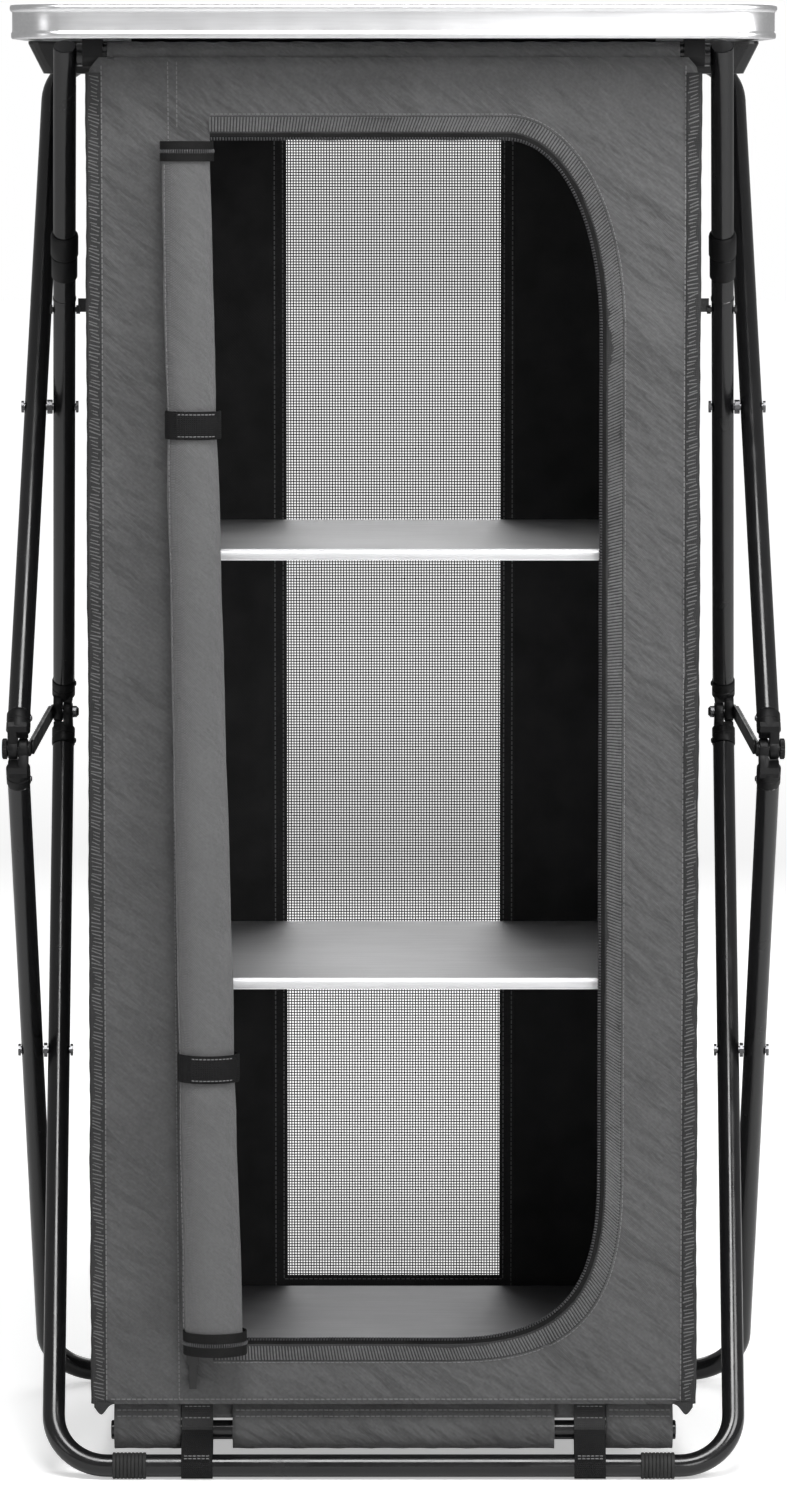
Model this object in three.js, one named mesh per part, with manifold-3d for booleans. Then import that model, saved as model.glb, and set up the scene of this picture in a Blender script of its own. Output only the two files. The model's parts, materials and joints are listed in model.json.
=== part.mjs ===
// Folding camping storage cabinet, in millimetres.
// +Z is up, -Y is the front with the door, and the origin is on the floor under the middle.
import * as THREE from 'three';
import { mergeVertices } from 'three/addons/utils/BufferGeometryUtils.js';
import Module from 'manifold-3d';

const wasm = await Module();
wasm.setup();

// Driving sizes of the table top
const tableWidth = 600;
const tableDepth = 500;
const tableTopZ = 1171;
const rimHeight = 27;
const rimThickness = 13;
const rimCorner = 42;
const panelThickness = 10;
const panelDrop = 0.8;
const trayDrop = 26;
const trayDepth = 180;
const trayInset = 90;
const trayWall = 2;
const traySplay = 12;
const padInset = 80;
const padHalfWidth = 11;
const clipReach = 10.9;
const clipHalfWidth = 8;

// Driving sizes of the steel frame
const tubeRadius = 9;
const tubeWall = 1.2;
const bendRadius = 44;
const footRadius = 11;
const railDrop = 39;
const railInset = 61.16;
const baseReach = 14.16;
const kneeHalfDepth = 162.4;
const kneeOffset = 11;
const outerTopInset = 15;
const outerMidReach = 14;
const outerBaseReach = 11;
const topArmGap = 27;
const midArmGap = 20;
const baseArmGap = 24;

// Driving sizes of the cloth cabinet and its shelves
const boxSideGap = 18;
const boxReach = 12.66;
const clothThickness = 1.5;
const boxBottomZ = 60;
const boxTopDrop = 24;
const frontTopDrop = 2;
const doorLeftInset = 96;
const doorRightInset = 72;
const doorBottomRise = 48;
const doorTopDrop = 37;
const doorCorner = 70;
const windowHalfWidth = 92;
const windowBottomRise = 32;
const windowTopDrop = 42;
const netColumns = 6;
const netRows = 20;
const netBar = 3;
const shelfSideGap = 8;
const shelfEndGap = 15.5;
const shelfThickness = 9;
const shelfCorner = 10;
const sheetThickness = 1.5;
const edgeRound = 1.2;
const upperShelfTopZ = 743;
const lowerShelfTopZ = 401;
const floorShelfRise = 27;
const ledgeWidth = 16;
const rollBottomReach = 2.5;
const rollTopReach = 18;
const rollBottomRadius = 25;
const rollTopRadius = 20.5;
const rollFlatness = 0.83;
const rollSlack = 0.7;
const rollBottomRise = 46;
const rollTopDrop = 7;
const rollStrapRise = [275, 783];
const rollStrapHeight = 20;
const rollStrapThickness = 1.6;

// Driving sizes of the small parts
const clearance = 0.3;
const pinRadius = 3;
const pinHeadRadius = 5;
const pinHeadHeight = 2;
const earHalfWidth = 8;
const earRadius = 8.5;
const collarRadius = 9.6;
const collarStart = 10;
const collarEnd = 26;
const spigotLength = 16;
const braceHeight = 12;
const braceThickness = 1.5;
const braceEndGap = 12;
const knobRadius = 8.5;
const knobHeight = 4.5;
const wingBoltDrop = 204;
const sleeveDrop = 177;
const sleeveLength = 42;
const sleeveRadius = 11.2;
const wingReach = 9;
const hemRodRadius = 8;
const hemRodInset = 17.5;
const hemRodDrop = 24;
const hemRodEndGap = 14;
const strapWidth = 25;
const strapInset = 83;
const strapThickness = 1;
const notchInside = 16;
const flapInset = 60;
const flapLength = 62;
const footInset = 29;
const footLength = 27;
const sliderReach = 16;
const sliderDrop = 9;
const sliderHalfWidth = 5;
const sliderHalfHeight = 6;
const sliderDepth = 4;
const pullHalfWidth = 3;
const pullLength = 20;
const footRibs = 7;
const tubeSides = 12;

// Sizes worked out from the driving ones
const flatShare = Math.cos(Math.PI / tubeSides);
const baseRailZ = footRadius * flatShare;
const topRailZ = tableTopZ - railDrop;
const topHalfDepth = tableDepth / 2 - railInset;
const baseHalfDepth = topHalfDepth + baseReach;
const armSpread = baseHalfDepth + topHalfDepth + 2 * kneeHalfDepth;
const armRise = topRailZ - baseRailZ;
const armAngle = Math.acos(2 * kneeOffset / Math.hypot(armRise, armSpread))
  - Math.atan2(armSpread, armRise);
const armCos = Math.cos(armAngle);
const armSin = Math.sin(armAngle);
const kneeReach = (kneeHalfDepth + kneeOffset * armSin) / armCos;
const lowerPinZ = baseRailZ + baseHalfDepth * armSin / armCos;
const midPivotZ = lowerPinZ + kneeReach * armSin + kneeOffset * armCos;
const upperPinZ = 2 * midPivotZ - lowerPinZ;
const outerTopX = tableWidth / 2 - outerTopInset;
const outerMidX = outerTopX + outerMidReach;
const outerBaseX = outerTopX + outerBaseReach;
const innerTopX = outerTopX - topArmGap;
const innerMidX = outerMidX - midArmGap;
const innerBaseX = outerBaseX - baseArmGap;
const boxHalfWidth = innerTopX - boxSideGap;
const boxBackY = topHalfDepth + boxReach;
const boxFrontY = -boxBackY;
const boxTopZ = topRailZ - boxTopDrop;
const frontTopZ = topRailZ - frontTopDrop;
const doorLeft = doorLeftInset - boxHalfWidth;
const doorRight = boxHalfWidth - doorRightInset;
const doorBottomZ = boxBottomZ + doorBottomRise;
const doorTopZ = boxTopZ - doorTopDrop;
const windowBottomZ = boxBottomZ + windowBottomRise;
const windowTopZ = boxTopZ - windowTopDrop;
const shelfHalfWidth = boxHalfWidth - shelfSideGap;
const shelfHalfDepth = boxBackY - shelfEndGap;
const floorShelfTopZ = boxBottomZ + floorShelfRise;
const rollBottomX = doorLeft + rollBottomReach;
const rollTopX = doorLeft - rollTopReach;
const rollBottomZ = boxBottomZ + rollBottomRise;
const rollTopZ = doorTopZ - rollTopDrop;
const hemRodY = boxBackY - hemRodInset;
const hemRodZ = boxBottomZ - hemRodDrop;
const hemRodHalfLength = boxHalfWidth - hemRodEndGap;
const strapX = boxHalfWidth - strapInset;
const flapHalfWidth = boxHalfWidth - flapInset;
const footX = boxHalfWidth - footInset;
const clipX = boxHalfWidth - clipHalfWidth / 2;
const topSleeveHalfLength = clipX - clipHalfWidth - clearance;
const padHalfLength = tableWidth / 2 - padInset;
const trayBack = tableDepth / 2 - trayInset;
const trayFront = trayBack - trayDepth;
const bore = tubeRadius + clearance;
const tubeEnd = kneeReach - collarEnd - clearance;
const spigotRadius = (tubeRadius - tubeWall) * flatShare - clearance;
const floorShelfThickness = floorShelfTopZ - boxBottomZ - clothThickness - clearance;
const rimBottomZ = tableTopZ - rimHeight;
const panelUnderZ = tableTopZ - panelDrop - sheetThickness;

const finishes = {
  steel: { color: 0x1b1b1c, roughness: 0.42, metalness: 0.5 },
  plastic: { color: 0x141415, roughness: 0.55, metalness: 0 },
  bolt: { color: 0x3a3a3c, roughness: 0.35, metalness: 0.9 },
  aluminium: { color: 0xd9dadb, roughness: 0.3, metalness: 0.9 },
  board: { color: 0xc4c5c7, roughness: 0.35, metalness: 0.8 },
  rubber: { color: 0x101010, roughness: 0.85, metalness: 0 },
  cloth: { color: 0x555657, roughness: 0.95, metalness: 0 },
  webbing: { color: 0x111112, roughness: 0.9, metalness: 0 },
  net: { color: 0x3a3a3b, roughness: 0.9, metalness: 0 },
};

const cabinet = new THREE.Group();
cabinet.name = 'folding_camping_storage_cabinet';

/** Add one named piece to a group, with the finish of its material. */
function addPiece(group, name, geometry, finish, position = [0, 0, 0]) {
  const material = new THREE.MeshStandardMaterial(finishes[finish]);
  const piece = new THREE.Mesh(geometry, material);
  piece.name = name;
  piece.position.set(...position);
  group.add(piece);
  return piece;
}

/** Turn a closed geometry into a solid that can be joined or cut. */
function toSolid(geometry) {
  const bare = geometry.clone();
  bare.deleteAttribute('normal');
  bare.deleteAttribute('uv');
  const merged = mergeVertices(bare, 1e-4);
  const vertProperties = Float32Array.from(merged.attributes.position.array);
  const triVerts = Uint32Array.from(merged.index.array);
  return new wasm.Manifold(new wasm.Mesh({ numProp: 3, vertProperties, triVerts }));
}

/** Turn a joined or cut solid back into a geometry. */
function fromSolid(solid) {
  const mesh = solid.getMesh();
  const geometry = new THREE.BufferGeometry();
  geometry.setAttribute('position', new THREE.BufferAttribute(mesh.vertProperties, 3));
  geometry.setIndex(new THREE.BufferAttribute(mesh.triVerts, 1));
  return geometry;
}

/** Join several closed geometries that overlap. */
function join(first, ...others) {
  return fromSolid(others.reduce((sum, next) => sum.add(toSolid(next)), toSolid(first)));
}

/** Cut several closed geometries out of the first one. */
function cut(first, ...others) {
  return fromSolid(others.reduce((rest, next) => rest.subtract(toSolid(next)), toSolid(first)));
}

/** A box between two corners. */
function boxBetween(low, high) {
  const size = high.map((value, axis) => value - low[axis]);
  const geometry = new THREE.BoxGeometry(...size);
  return geometry.translate(...low.map((value, axis) => value + size[axis] / 2));
}

/** A round bar along X between two places, with a flat side down. */
function barAlongX(x0, x1, radius, sides = tubeSides) {
  const geometry = new THREE.CylinderGeometry(radius, radius, Math.abs(x1 - x0), sides);
  geometry.rotateY(Math.PI / sides);
  geometry.rotateZ(Math.PI / 2);
  return geometry.translate((x0 + x1) / 2, 0, 0);
}

/** A turned piece about the X axis from points of radius and place along X. */
function turnedAlongX(points, segments = tubeSides) {
  const rising = points[points.length - 1][1] > points[0][1] ? points : [...points].reverse();
  const profile = rising.map(([radius, x]) => new THREE.Vector2(radius, x));
  const geometry = new THREE.LatheGeometry(profile, segments);
  geometry.rotateY(Math.PI / segments);
  return geometry.rotateZ(-Math.PI / 2);
}

/** A turned ring about the X axis: a bore and an outer outline. */
function turnedRing(boreRadius, outline, segments = tubeSides) {
  const first = outline[0];
  const last = outline[outline.length - 1];
  const points = [[boreRadius, first[1]], ...outline, [boreRadius, last[1]], [boreRadius, first[1]]];
  const profile = points.map(([radius, x]) => new THREE.Vector2(radius, x));
  const geometry = new THREE.LatheGeometry(profile, segments);
  geometry.rotateY(Math.PI / segments);
  return geometry.rotateZ(-Math.PI / 2);
}

/** A flat shape in the YZ plane given a thickness along X. */
function platePiece(shape, x0, x1, curveSegments = 6) {
  const options = { depth: Math.abs(x1 - x0), bevelEnabled: false, curveSegments };
  const geometry = new THREE.ExtrudeGeometry(shape, options);
  geometry.applyMatrix4(new THREE.Matrix4().set(0, 0, 1, 0, 1, 0, 0, 0, 0, 1, 0, 0, 0, 0, 0, 1));
  return geometry.translate(Math.min(x0, x1), 0, 0);
}

/** A flat shape in the XZ plane given a thickness along Y, as a hanging panel. */
function panelPiece(shape, y0, y1, curveSegments = 8) {
  const options = { depth: Math.abs(y1 - y0), bevelEnabled: false, curveSegments };
  const geometry = new THREE.ExtrudeGeometry(shape, options);
  geometry.rotateX(Math.PI / 2);
  return geometry.translate(0, Math.max(y0, y1), 0);
}

/** A closed outline through a list of points. */
function outline(points) {
  return new THREE.Shape(points.map(([x, y]) => new THREE.Vector2(x, y)));
}

/** The outline of a rectangle with round corners. */
function roundRectangle(x0, x1, y0, y1, radius, kind = THREE.Shape) {
  const shape = new kind();
  shape.moveTo(x0 + radius, y0);
  shape.lineTo(x1 - radius, y0);
  shape.absarc(x1 - radius, y0 + radius, radius, -Math.PI / 2, 0, false);
  shape.lineTo(x1, y1 - radius);
  shape.absarc(x1 - radius, y1 - radius, radius, 0, Math.PI / 2, false);
  shape.lineTo(x0 + radius, y1);
  shape.absarc(x0 + radius, y1 - radius, radius, Math.PI / 2, Math.PI, false);
  shape.lineTo(x0, y0 + radius);
  shape.absarc(x0 + radius, y0 + radius, radius, Math.PI, 1.5 * Math.PI, false);
  return shape;
}

/** Points of a rectangle with round corners, centred, running anticlockwise. */
function roundLoop(halfX, halfY, radius, z, centreY = 0, steps = 5) {
  const loop = [];
  const corners = [[1, 1, 0], [-1, 1, 1], [-1, -1, 2], [1, -1, 3]];
  for (const [signX, signY, quarter] of corners) {
    for (let step = 0; step <= steps; step += 1) {
      const angle = (quarter + step / steps) * Math.PI / 2;
      const x = signX * (halfX - radius) + radius * Math.cos(angle);
      const y = signY * (halfY - radius) + radius * Math.sin(angle);
      loop.push([x, y + centreY, z]);
    }
  }
  return loop;
}

/** A closed body through loops of points: capped at both ends, or joined last to first. */
function loftLoops(loops, ringed = false) {
  const count = loops[0].length;
  const positions = loops.flat();
  const faces = [];
  const spans = ringed ? loops.length : loops.length - 1;
  for (let row = 0; row < spans; row += 1) {
    const lower = row * count;
    const upper = ((row + 1) % loops.length) * count;
    for (let index = 0; index < count; index += 1) {
      const next = (index + 1) % count;
      faces.push(lower + index, lower + next, upper + next);
      faces.push(lower + index, upper + next, upper + index);
    }
  }
  if (!ringed) {
    const top = (loops.length - 1) * count;
    for (let index = 1; index < count - 1; index += 1) {
      faces.push(0, index + 1, index);
      faces.push(top, top + index, top + index + 1);
    }
  }
  const geometry = new THREE.BufferGeometry();
  geometry.setAttribute('position', new THREE.Float32BufferAttribute(positions.flat(), 3));
  geometry.setIndex(faces);
  return geometry;
}

/** A path of chosen stations, each one a step of the tube that follows it. */
class StationPath extends THREE.Curve {
  constructor(stations) {
    super();
    this.stations = stations;
  }

  getPoint(share, target = new THREE.Vector3()) {
    const place = share * (this.stations.length - 1);
    const index = Math.min(Math.floor(place), this.stations.length - 2);
    return target.lerpVectors(this.stations[index], this.stations[index + 1], place - index);
  }

  getPointAt(share, target) {
    return this.getPoint(share, target);
  }

  getTangentAt(share, target = new THREE.Vector3()) {
    const last = this.stations.length - 1;
    const index = Math.round(share * last);
    const before = this.stations[Math.max(index - 1, 0)];
    const after = this.stations[Math.min(index + 1, last)];
    return target.subVectors(after, before).normalize();
  }
}

/** Stations of a path through corner points, with a round bend at each inner corner. */
function bentStations(corners, radius, steps = 6) {
  const stations = [corners[0].clone()];
  for (let index = 1; index < corners.length - 1; index += 1) {
    const corner = corners[index];
    const arriving = corner.clone().sub(corners[index - 1]).normalize();
    const leaving = corners[index + 1].clone().sub(corner).normalize();
    const turn = arriving.angleTo(leaving);
    const reach = radius * Math.tan(turn / 2);
    const start = corner.clone().addScaledVector(arriving, -reach);
    const inward = leaving.clone().sub(arriving).normalize();
    const centre = corner.clone().addScaledVector(inward, radius / Math.cos(turn / 2));
    const axis = arriving.clone().cross(leaving).normalize();
    for (let step = 0; step <= steps; step += 1) {
      const spoke = start.clone().sub(centre).applyAxisAngle(axis, turn * step / steps);
      stations.push(centre.clone().add(spoke));
    }
  }
  stations.push(corners[corners.length - 1].clone());
  return stations;
}

/** A round tube with a bore, along stations. */
function tubeAlong(stations, radius = tubeRadius, wall = tubeWall) {
  const section = new THREE.Shape();
  section.absarc(0, 0, radius, 0, 2 * Math.PI, false);
  if (wall > 0) {
    const hole = new THREE.Path();
    hole.absarc(0, 0, radius - wall, 0, 2 * Math.PI, true);
    section.holes.push(hole);
  }
  return new THREE.ExtrudeGeometry(section, {
    steps: stations.length - 1,
    curveSegments: tubeSides / 2,
    extrudePath: new StationPath(stations),
  });
}

/** The place on a leaning arm, from its pin, at a reach along it in the side view. */
function armPoint(pinZ, reach, rise, run, x0, x1, z0, z1) {
  const z = pinZ + reach * rise;
  const share = (z - z0) / (z1 - z0);
  return new THREE.Vector3(x0 + (x1 - x0) * share, reach * run, z);
}

/** The X place of a leaning arm at a height. */
function leanX(z, z0, x0, z1, x1) {
  return x0 + (x1 - x0) * (z - z0) / (z1 - z0);
}

const innerUpperX = (z) => leanX(z, midPivotZ, innerMidX, topRailZ, innerTopX);
const outerUpperX = (z) => leanX(z, midPivotZ, outerMidX, topRailZ, outerTopX);
const innerLowerX = (z) => leanX(z, midPivotZ, innerMidX, baseRailZ, innerBaseX);
const outerLowerX = (z) => leanX(z, midPivotZ, outerMidX, baseRailZ, outerBaseX);
const sides = [['left', -1], ['right', 1]];

/** A pin hole through a tube, along X. */
function crossHole(x0, x1, y, z, radius = pinRadius + clearance) {
  return barAlongX(x0, x1, radius).translate(0, y, z);
}

/** A U-shaped tube: an arm, a rail with two bends, and the other arm, with its pin holes. */
function uFrame(pinZ, kneeX, railX, railY, railZ, pinX) {
  const armRun = -Math.sign(railY) * armCos;
  const armRise = Math.sign(pinZ - railZ) * armSin;
  const ends = sides.map(([, side]) => armPoint(
    pinZ, tubeEnd, armRise, armRun, side * railX, side * kneeX, railZ, midPivotZ,
  ));
  const corners = [
    ends[0],
    new THREE.Vector3(-railX, railY, railZ),
    new THREE.Vector3(railX, railY, railZ),
    ends[1],
  ];
  const tube = tubeAlong(bentStations(corners, bendRadius));
  return cut(tube, crossHole(-pinX - 15, pinX + 15, 0, pinZ));
}

/**
 * One half of a knee hinge about its pivot: an ear of half the width, a collar that meets
 * the tube's end and a spigot inside the tube. The arm runs off at a run and a rise.
 */
function kneeHalf(run, rise, outward, x0, x1, centreX, lean) {
  const along = ([u, n]) => [u * run + n * outward[0], u * rise + n * outward[1]];
  const shape = new THREE.Shape();
  const points = [];
  for (let step = 0; step <= 8; step += 1) {
    const angle = Math.PI / 2 + Math.PI * step / 8;
    points.push([earRadius * Math.cos(angle), earRadius * Math.sin(angle)]);
  }
  points.push([collarStart, kneeOffset - collarRadius]);
  points.push([collarStart + 3, kneeOffset - collarRadius + 1]);
  points.push([collarStart + 3, kneeOffset + collarRadius - 1]);
  points.push([collarStart, kneeOffset + collarRadius - 1]);
  shape.setFromPoints(points.map(along).map(([y, z]) => new THREE.Vector2(y, z)));
  const ear = platePiece(shape, x0, x1);
  const axis = new THREE.Vector3(lean, run, rise).normalize();
  const place = (u) => {
    const [y, z] = along([u, kneeOffset]);
    return new THREE.Vector3(centreX + lean * u, y, z);
  };
  const turn = new THREE.Quaternion().setFromUnitVectors(new THREE.Vector3(0, 1, 0), axis);
  const round = (radius, u0, u1) => {
    const bar = new THREE.CylinderGeometry(radius, radius, u1 - u0, tubeSides);
    const middle = place((u0 + u1) / 2);
    return bar.applyQuaternion(turn).translate(middle.x, middle.y, middle.z);
  };
  const collar = round(collarRadius, collarStart, collarEnd);
  const spigot = round(spigotRadius, collarEnd - 2, collarEnd + spigotLength);
  const hole = crossHole(x0 - 1, x1 + 1, 0, 0);
  return cut(join(ear, collar, spigot), hole);
}

/** The two halves of a knee: which way the arm runs and rises from the pivot. */
function kneePiece(side, centreX, frontKnee, upperArm, farX, farZ) {
  const run = frontKnee ? armCos : -armCos;
  const rise = upperArm ? armSin : -armSin;
  const outward = [frontKnee ? -armSin : armSin, upperArm ? armCos : -armCos];
  const outerEar = upperArm;
  const inner = side * (centreX - (outerEar ? -clearance : earHalfWidth));
  const outer = side * (centreX + (outerEar ? earHalfWidth : -clearance));
  const lean = side * (farX - centreX) / (Math.abs(farZ - midPivotZ) / armSin);
  return kneeHalf(
    run, rise, outward, Math.min(inner, outer), Math.max(inner, outer), side * centreX, lean,
  );
}

/** The front lower frame: one bent tube that stands on the floor, its feet and knees. */
function buildFrontBase() {
  const group = new THREE.Group();
  const tube = uFrame(
    lowerPinZ, innerMidX, innerBaseX, -baseHalfDepth, baseRailZ, innerLowerX(lowerPinZ),
  );
  addPiece(group, 'base_front_tube', tube, 'steel');
  for (const [name, side] of sides) {
    const knee = kneePiece(side, innerMidX, false, false, innerBaseX, baseRailZ);
    addPiece(group, `knee_rear_lower_${name}`, knee, 'plastic', [0, kneeHalfDepth, midPivotZ]);
    addFoot(group, `foot_front_${name}`, side * footX, -baseHalfDepth);
    addPiece(
      group, `cross_pin_lower_${name}`,
      crossPin(side, innerLowerX(lowerPinZ), outerLowerX(lowerPinZ)), 'bolt', [0, 0, lowerPinZ],
    );
    addPiece(
      group, `hinge_bolt_rear_${name}`, rearHingeBolt(side), 'bolt', [0, kneeHalfDepth, midPivotZ],
    );
  }
  return group;
}

/** The rear lower frame: one bent tube, its feet and its knees at the front. */
function buildRearBase() {
  const group = new THREE.Group();
  const tube = uFrame(
    lowerPinZ, outerMidX, outerBaseX, baseHalfDepth, baseRailZ, outerLowerX(lowerPinZ),
  );
  addPiece(group, 'base_rear_tube', tube, 'steel');
  addPiece(group, 'rear_base_flap', rearFlap(baseHalfDepth, baseRailZ, 1), 'cloth');
  for (const [name, side] of sides) {
    const knee = kneePiece(side, outerMidX, true, false, outerBaseX, baseRailZ);
    addPiece(group, `knee_front_lower_${name}`, knee, 'plastic', [0, -kneeHalfDepth, midPivotZ]);
    addFoot(group, `foot_rear_${name}`, side * footX, baseHalfDepth);
  }
  return group;
}

/** A ribbed rubber sleeve round a rail. */
function addFoot(group, name, x, y) {
  const pitch = footLength / (2 * footRibs - 1);
  const ribs = [];
  for (let rib = 0; rib < footRibs; rib += 1) {
    const start = -footLength / 2 + 2 * rib * pitch;
    ribs.push([footRadius, start], [footRadius, start + pitch]);
    if (rib < footRibs - 1) {
      ribs.push([footRadius - 0.9, start + 1.25 * pitch]);
      ribs.push([footRadius - 0.9, start + 1.75 * pitch]);
    }
  }
  addPiece(group, name, turnedRing(bore, ribs), 'rubber', [x, y, baseRailZ]);
}

/** A riveted pin through two crossing tubes, with a spacer between them. */
function crossPin(side, innerX, outerX) {
  const slack = 0.6;
  const inside = innerX - tubeRadius - slack;
  const outside = outerX + tubeRadius + slack;
  const spacer = [innerX + tubeRadius + slack, outerX - tubeRadius - slack];
  return turnedAlongX([
    [0, side * (inside - pinHeadHeight)],
    [pinHeadRadius, side * (inside - pinHeadHeight)],
    [pinHeadRadius, side * inside],
    [pinRadius, side * inside],
    [pinRadius, side * spacer[0]],
    [pinHeadRadius + 1, side * spacer[0]],
    [pinHeadRadius + 1, side * spacer[1]],
    [pinRadius, side * spacer[1]],
    [pinRadius, side * outside],
    [pinHeadRadius, side * outside],
    [pinHeadRadius, side * (outside + pinHeadHeight)],
    [0, side * (outside + pinHeadHeight)],
  ]);
}

/** The X places of the two brace bars that slide past each other between the knees. */
const rearBraceFace = innerMidX + earHalfWidth + clearance;
const frontBraceFace = outerMidX - earHalfWidth - clearance;
const rearBraceX = [rearBraceFace, rearBraceFace + braceThickness];
const frontBraceX = [frontBraceFace - braceThickness, frontBraceFace];

/** The bolt of a rear knee, which also carries the rear brace bar. */
function rearHingeBolt(side) {
  const inside = innerMidX - earHalfWidth - clearance;
  const outside = rearBraceX[1] + clearance;
  return turnedAlongX([
    [0, side * (inside - 5)],
    [pinRadius, side * (inside - 5)],
    [pinHeadRadius, side * (inside - 3)],
    [pinHeadRadius, side * inside],
    [pinRadius, side * inside],
    [pinRadius, side * outside],
    [pinHeadRadius, side * outside],
    [pinHeadRadius, side * (outside + pinHeadHeight)],
    [0, side * (outside + pinHeadHeight)],
  ]);
}

/** The hand knob of a front knee, with the bolt that it turns. */
function frontHingeKnob(side) {
  const inside = frontBraceX[0] - clearance;
  const outside = outerMidX + earHalfWidth + clearance;
  return turnedAlongX([
    [0, side * (inside - pinHeadHeight)],
    [pinHeadRadius, side * (inside - pinHeadHeight)],
    [pinHeadRadius, side * inside],
    [pinRadius, side * inside],
    [pinRadius, side * outside],
    [knobRadius, side * outside],
    [knobRadius, side * (outside + knobHeight - 1)],
    [knobRadius - 1.5, side * (outside + knobHeight)],
    [0, side * (outside + knobHeight)],
  ]);
}

/** A flat brace bar from a pivot at the origin towards the other knee. */
function braceBar(places, side, direction) {
  const length = 2 * kneeHalfDepth - braceEndGap;
  const half = braceHeight / 2;
  const shape = roundRectangle(
    Math.min(-half * direction, length * direction), Math.max(-half * direction, length * direction),
    -half, half, half - 0.5,
  );
  const hole = new THREE.Path();
  hole.absarc(0, 0, pinRadius + clearance, 0, 2 * Math.PI, true);
  shape.holes.push(hole);
  return platePiece(shape, side * places[0], side * places[1]);
}

/** The four brace bars, two at each side. */
function buildBraces() {
  const group = new THREE.Group();
  for (const [name, side] of sides) {
    const rear = braceBar(rearBraceX, side, -1);
    addPiece(group, `brace_rear_${name}`, rear, 'steel', [0, kneeHalfDepth, midPivotZ]);
    const front = braceBar(frontBraceX, side, 1);
    addPiece(group, `brace_front_${name}`, front, 'steel', [0, -kneeHalfDepth, midPivotZ]);
  }
  return group;
}

/** The arm direction of the upper front frame at one side, from its knee up to the rail. */
function frontArmLine(side) {
  const low = armPoint(
    upperPinZ, -tubeEnd, armSin, -armCos,
    side * innerMidX, side * innerTopX, midPivotZ, topRailZ,
  );
  const high = new THREE.Vector3(side * innerTopX, -topHalfDepth, topRailZ);
  const direction = high.clone().sub(low).normalize();
  return { low, high, direction };
}

/** The place on the upper front arm at a height. */
function onFrontArm(side, z) {
  const { low, high } = frontArmLine(side);
  return low.clone().lerp(high, (z - low.z) / (high.z - low.z));
}

/** A turned ring that stands on the front arm, running up from a height. */
function ringOnArm(side, z, ring) {
  const { direction } = frontArmLine(side);
  const turn = new THREE.Quaternion().setFromUnitVectors(new THREE.Vector3(1, 0, 0), direction);
  const place = onFrontArm(side, z);
  return ring.applyQuaternion(turn).translate(place.x, place.y, place.z);
}

/** The upper front frame: two arms, their top rail, lock sleeves and wing bolts. */
function buildFrontUpper() {
  const group = new THREE.Group();
  const boltZ = topRailZ - wingBoltDrop;
  const boltHole = pinRadius - 0.8 + clearance;
  for (const [name, side] of sides) {
    const { low, high, direction } = frontArmLine(side);
    const bolt = onFrontArm(side, boltZ);
    const drill = crossHole(bolt.x - 15, bolt.x + 15, bolt.y, bolt.z, boltHole);
    const pinX = side * innerUpperX(upperPinZ);
    const pinHole = crossHole(pinX - 15, pinX + 15, 0, upperPinZ);
    const topEnd = high.clone().addScaledVector(direction, tubeRadius - 1);
    addPiece(group, `front_arm_${name}`, cut(tubeAlong([low, topEnd]), pinHole, drill), 'steel');
    addPiece(group, `wing_bolt_${name}`, wingBolt(side), 'bolt', [bolt.x, bolt.y, bolt.z]);
    addPiece(
      group, `cross_pin_upper_${name}`,
      crossPin(side, innerUpperX(upperPinZ), outerUpperX(upperPinZ)), 'bolt', [0, 0, upperPinZ],
    );
    const knee = kneePiece(side, innerMidX, false, true, innerTopX, topRailZ);
    addPiece(group, `knee_rear_upper_${name}`, knee, 'plastic', [0, kneeHalfDepth, midPivotZ]);
    const sleeve = turnedRing(bore, [
      [sleeveRadius - 0.8, 0],
      [sleeveRadius - 0.8, sleeveLength * 0.48],
      [sleeveRadius - 1.3, sleeveLength * 0.5],
      [sleeveRadius, sleeveLength * 0.52],
      [sleeveRadius, sleeveLength - 3],
      [sleeveRadius - 1.2, sleeveLength],
    ]);
    addPiece(group, `lock_sleeve_${name}`, ringOnArm(side, topRailZ - sleeveDrop, sleeve), 'plastic');
  }
  const railEnd = innerTopX - tubeRadius - clearance;
  const rail = tubeAlong([
    new THREE.Vector3(-railEnd, -topHalfDepth, topRailZ),
    new THREE.Vector3(railEnd, -topHalfDepth, topRailZ),
  ]);
  addPiece(group, 'top_front_rail', rail, 'steel');
  return group;
}

/** A bolt through the arm with a wing on the side towards the cloth. */
function wingBolt(side) {
  const reach = tubeRadius + 0.6;
  const radius = pinRadius - 0.8;
  const body = turnedAlongX([
    [0, -side * (reach + 3)],
    [radius + 1.6, -side * (reach + 3)],
    [radius + 1.6, -side * reach],
    [radius, -side * reach],
    [radius, side * reach],
    [radius + 1.6, side * reach],
    [radius + 1.6, side * (reach + pinHeadHeight)],
    [0, side * (reach + pinHeadHeight)],
  ], 8);
  const near = -side * (reach + 1.5);
  const far = -side * (reach + wingReach);
  const wing = boxBetween(
    [Math.min(near, far), -1.2, -2], [Math.max(near, far), 1.2, 9],
  );
  return join(body, wing);
}

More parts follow.
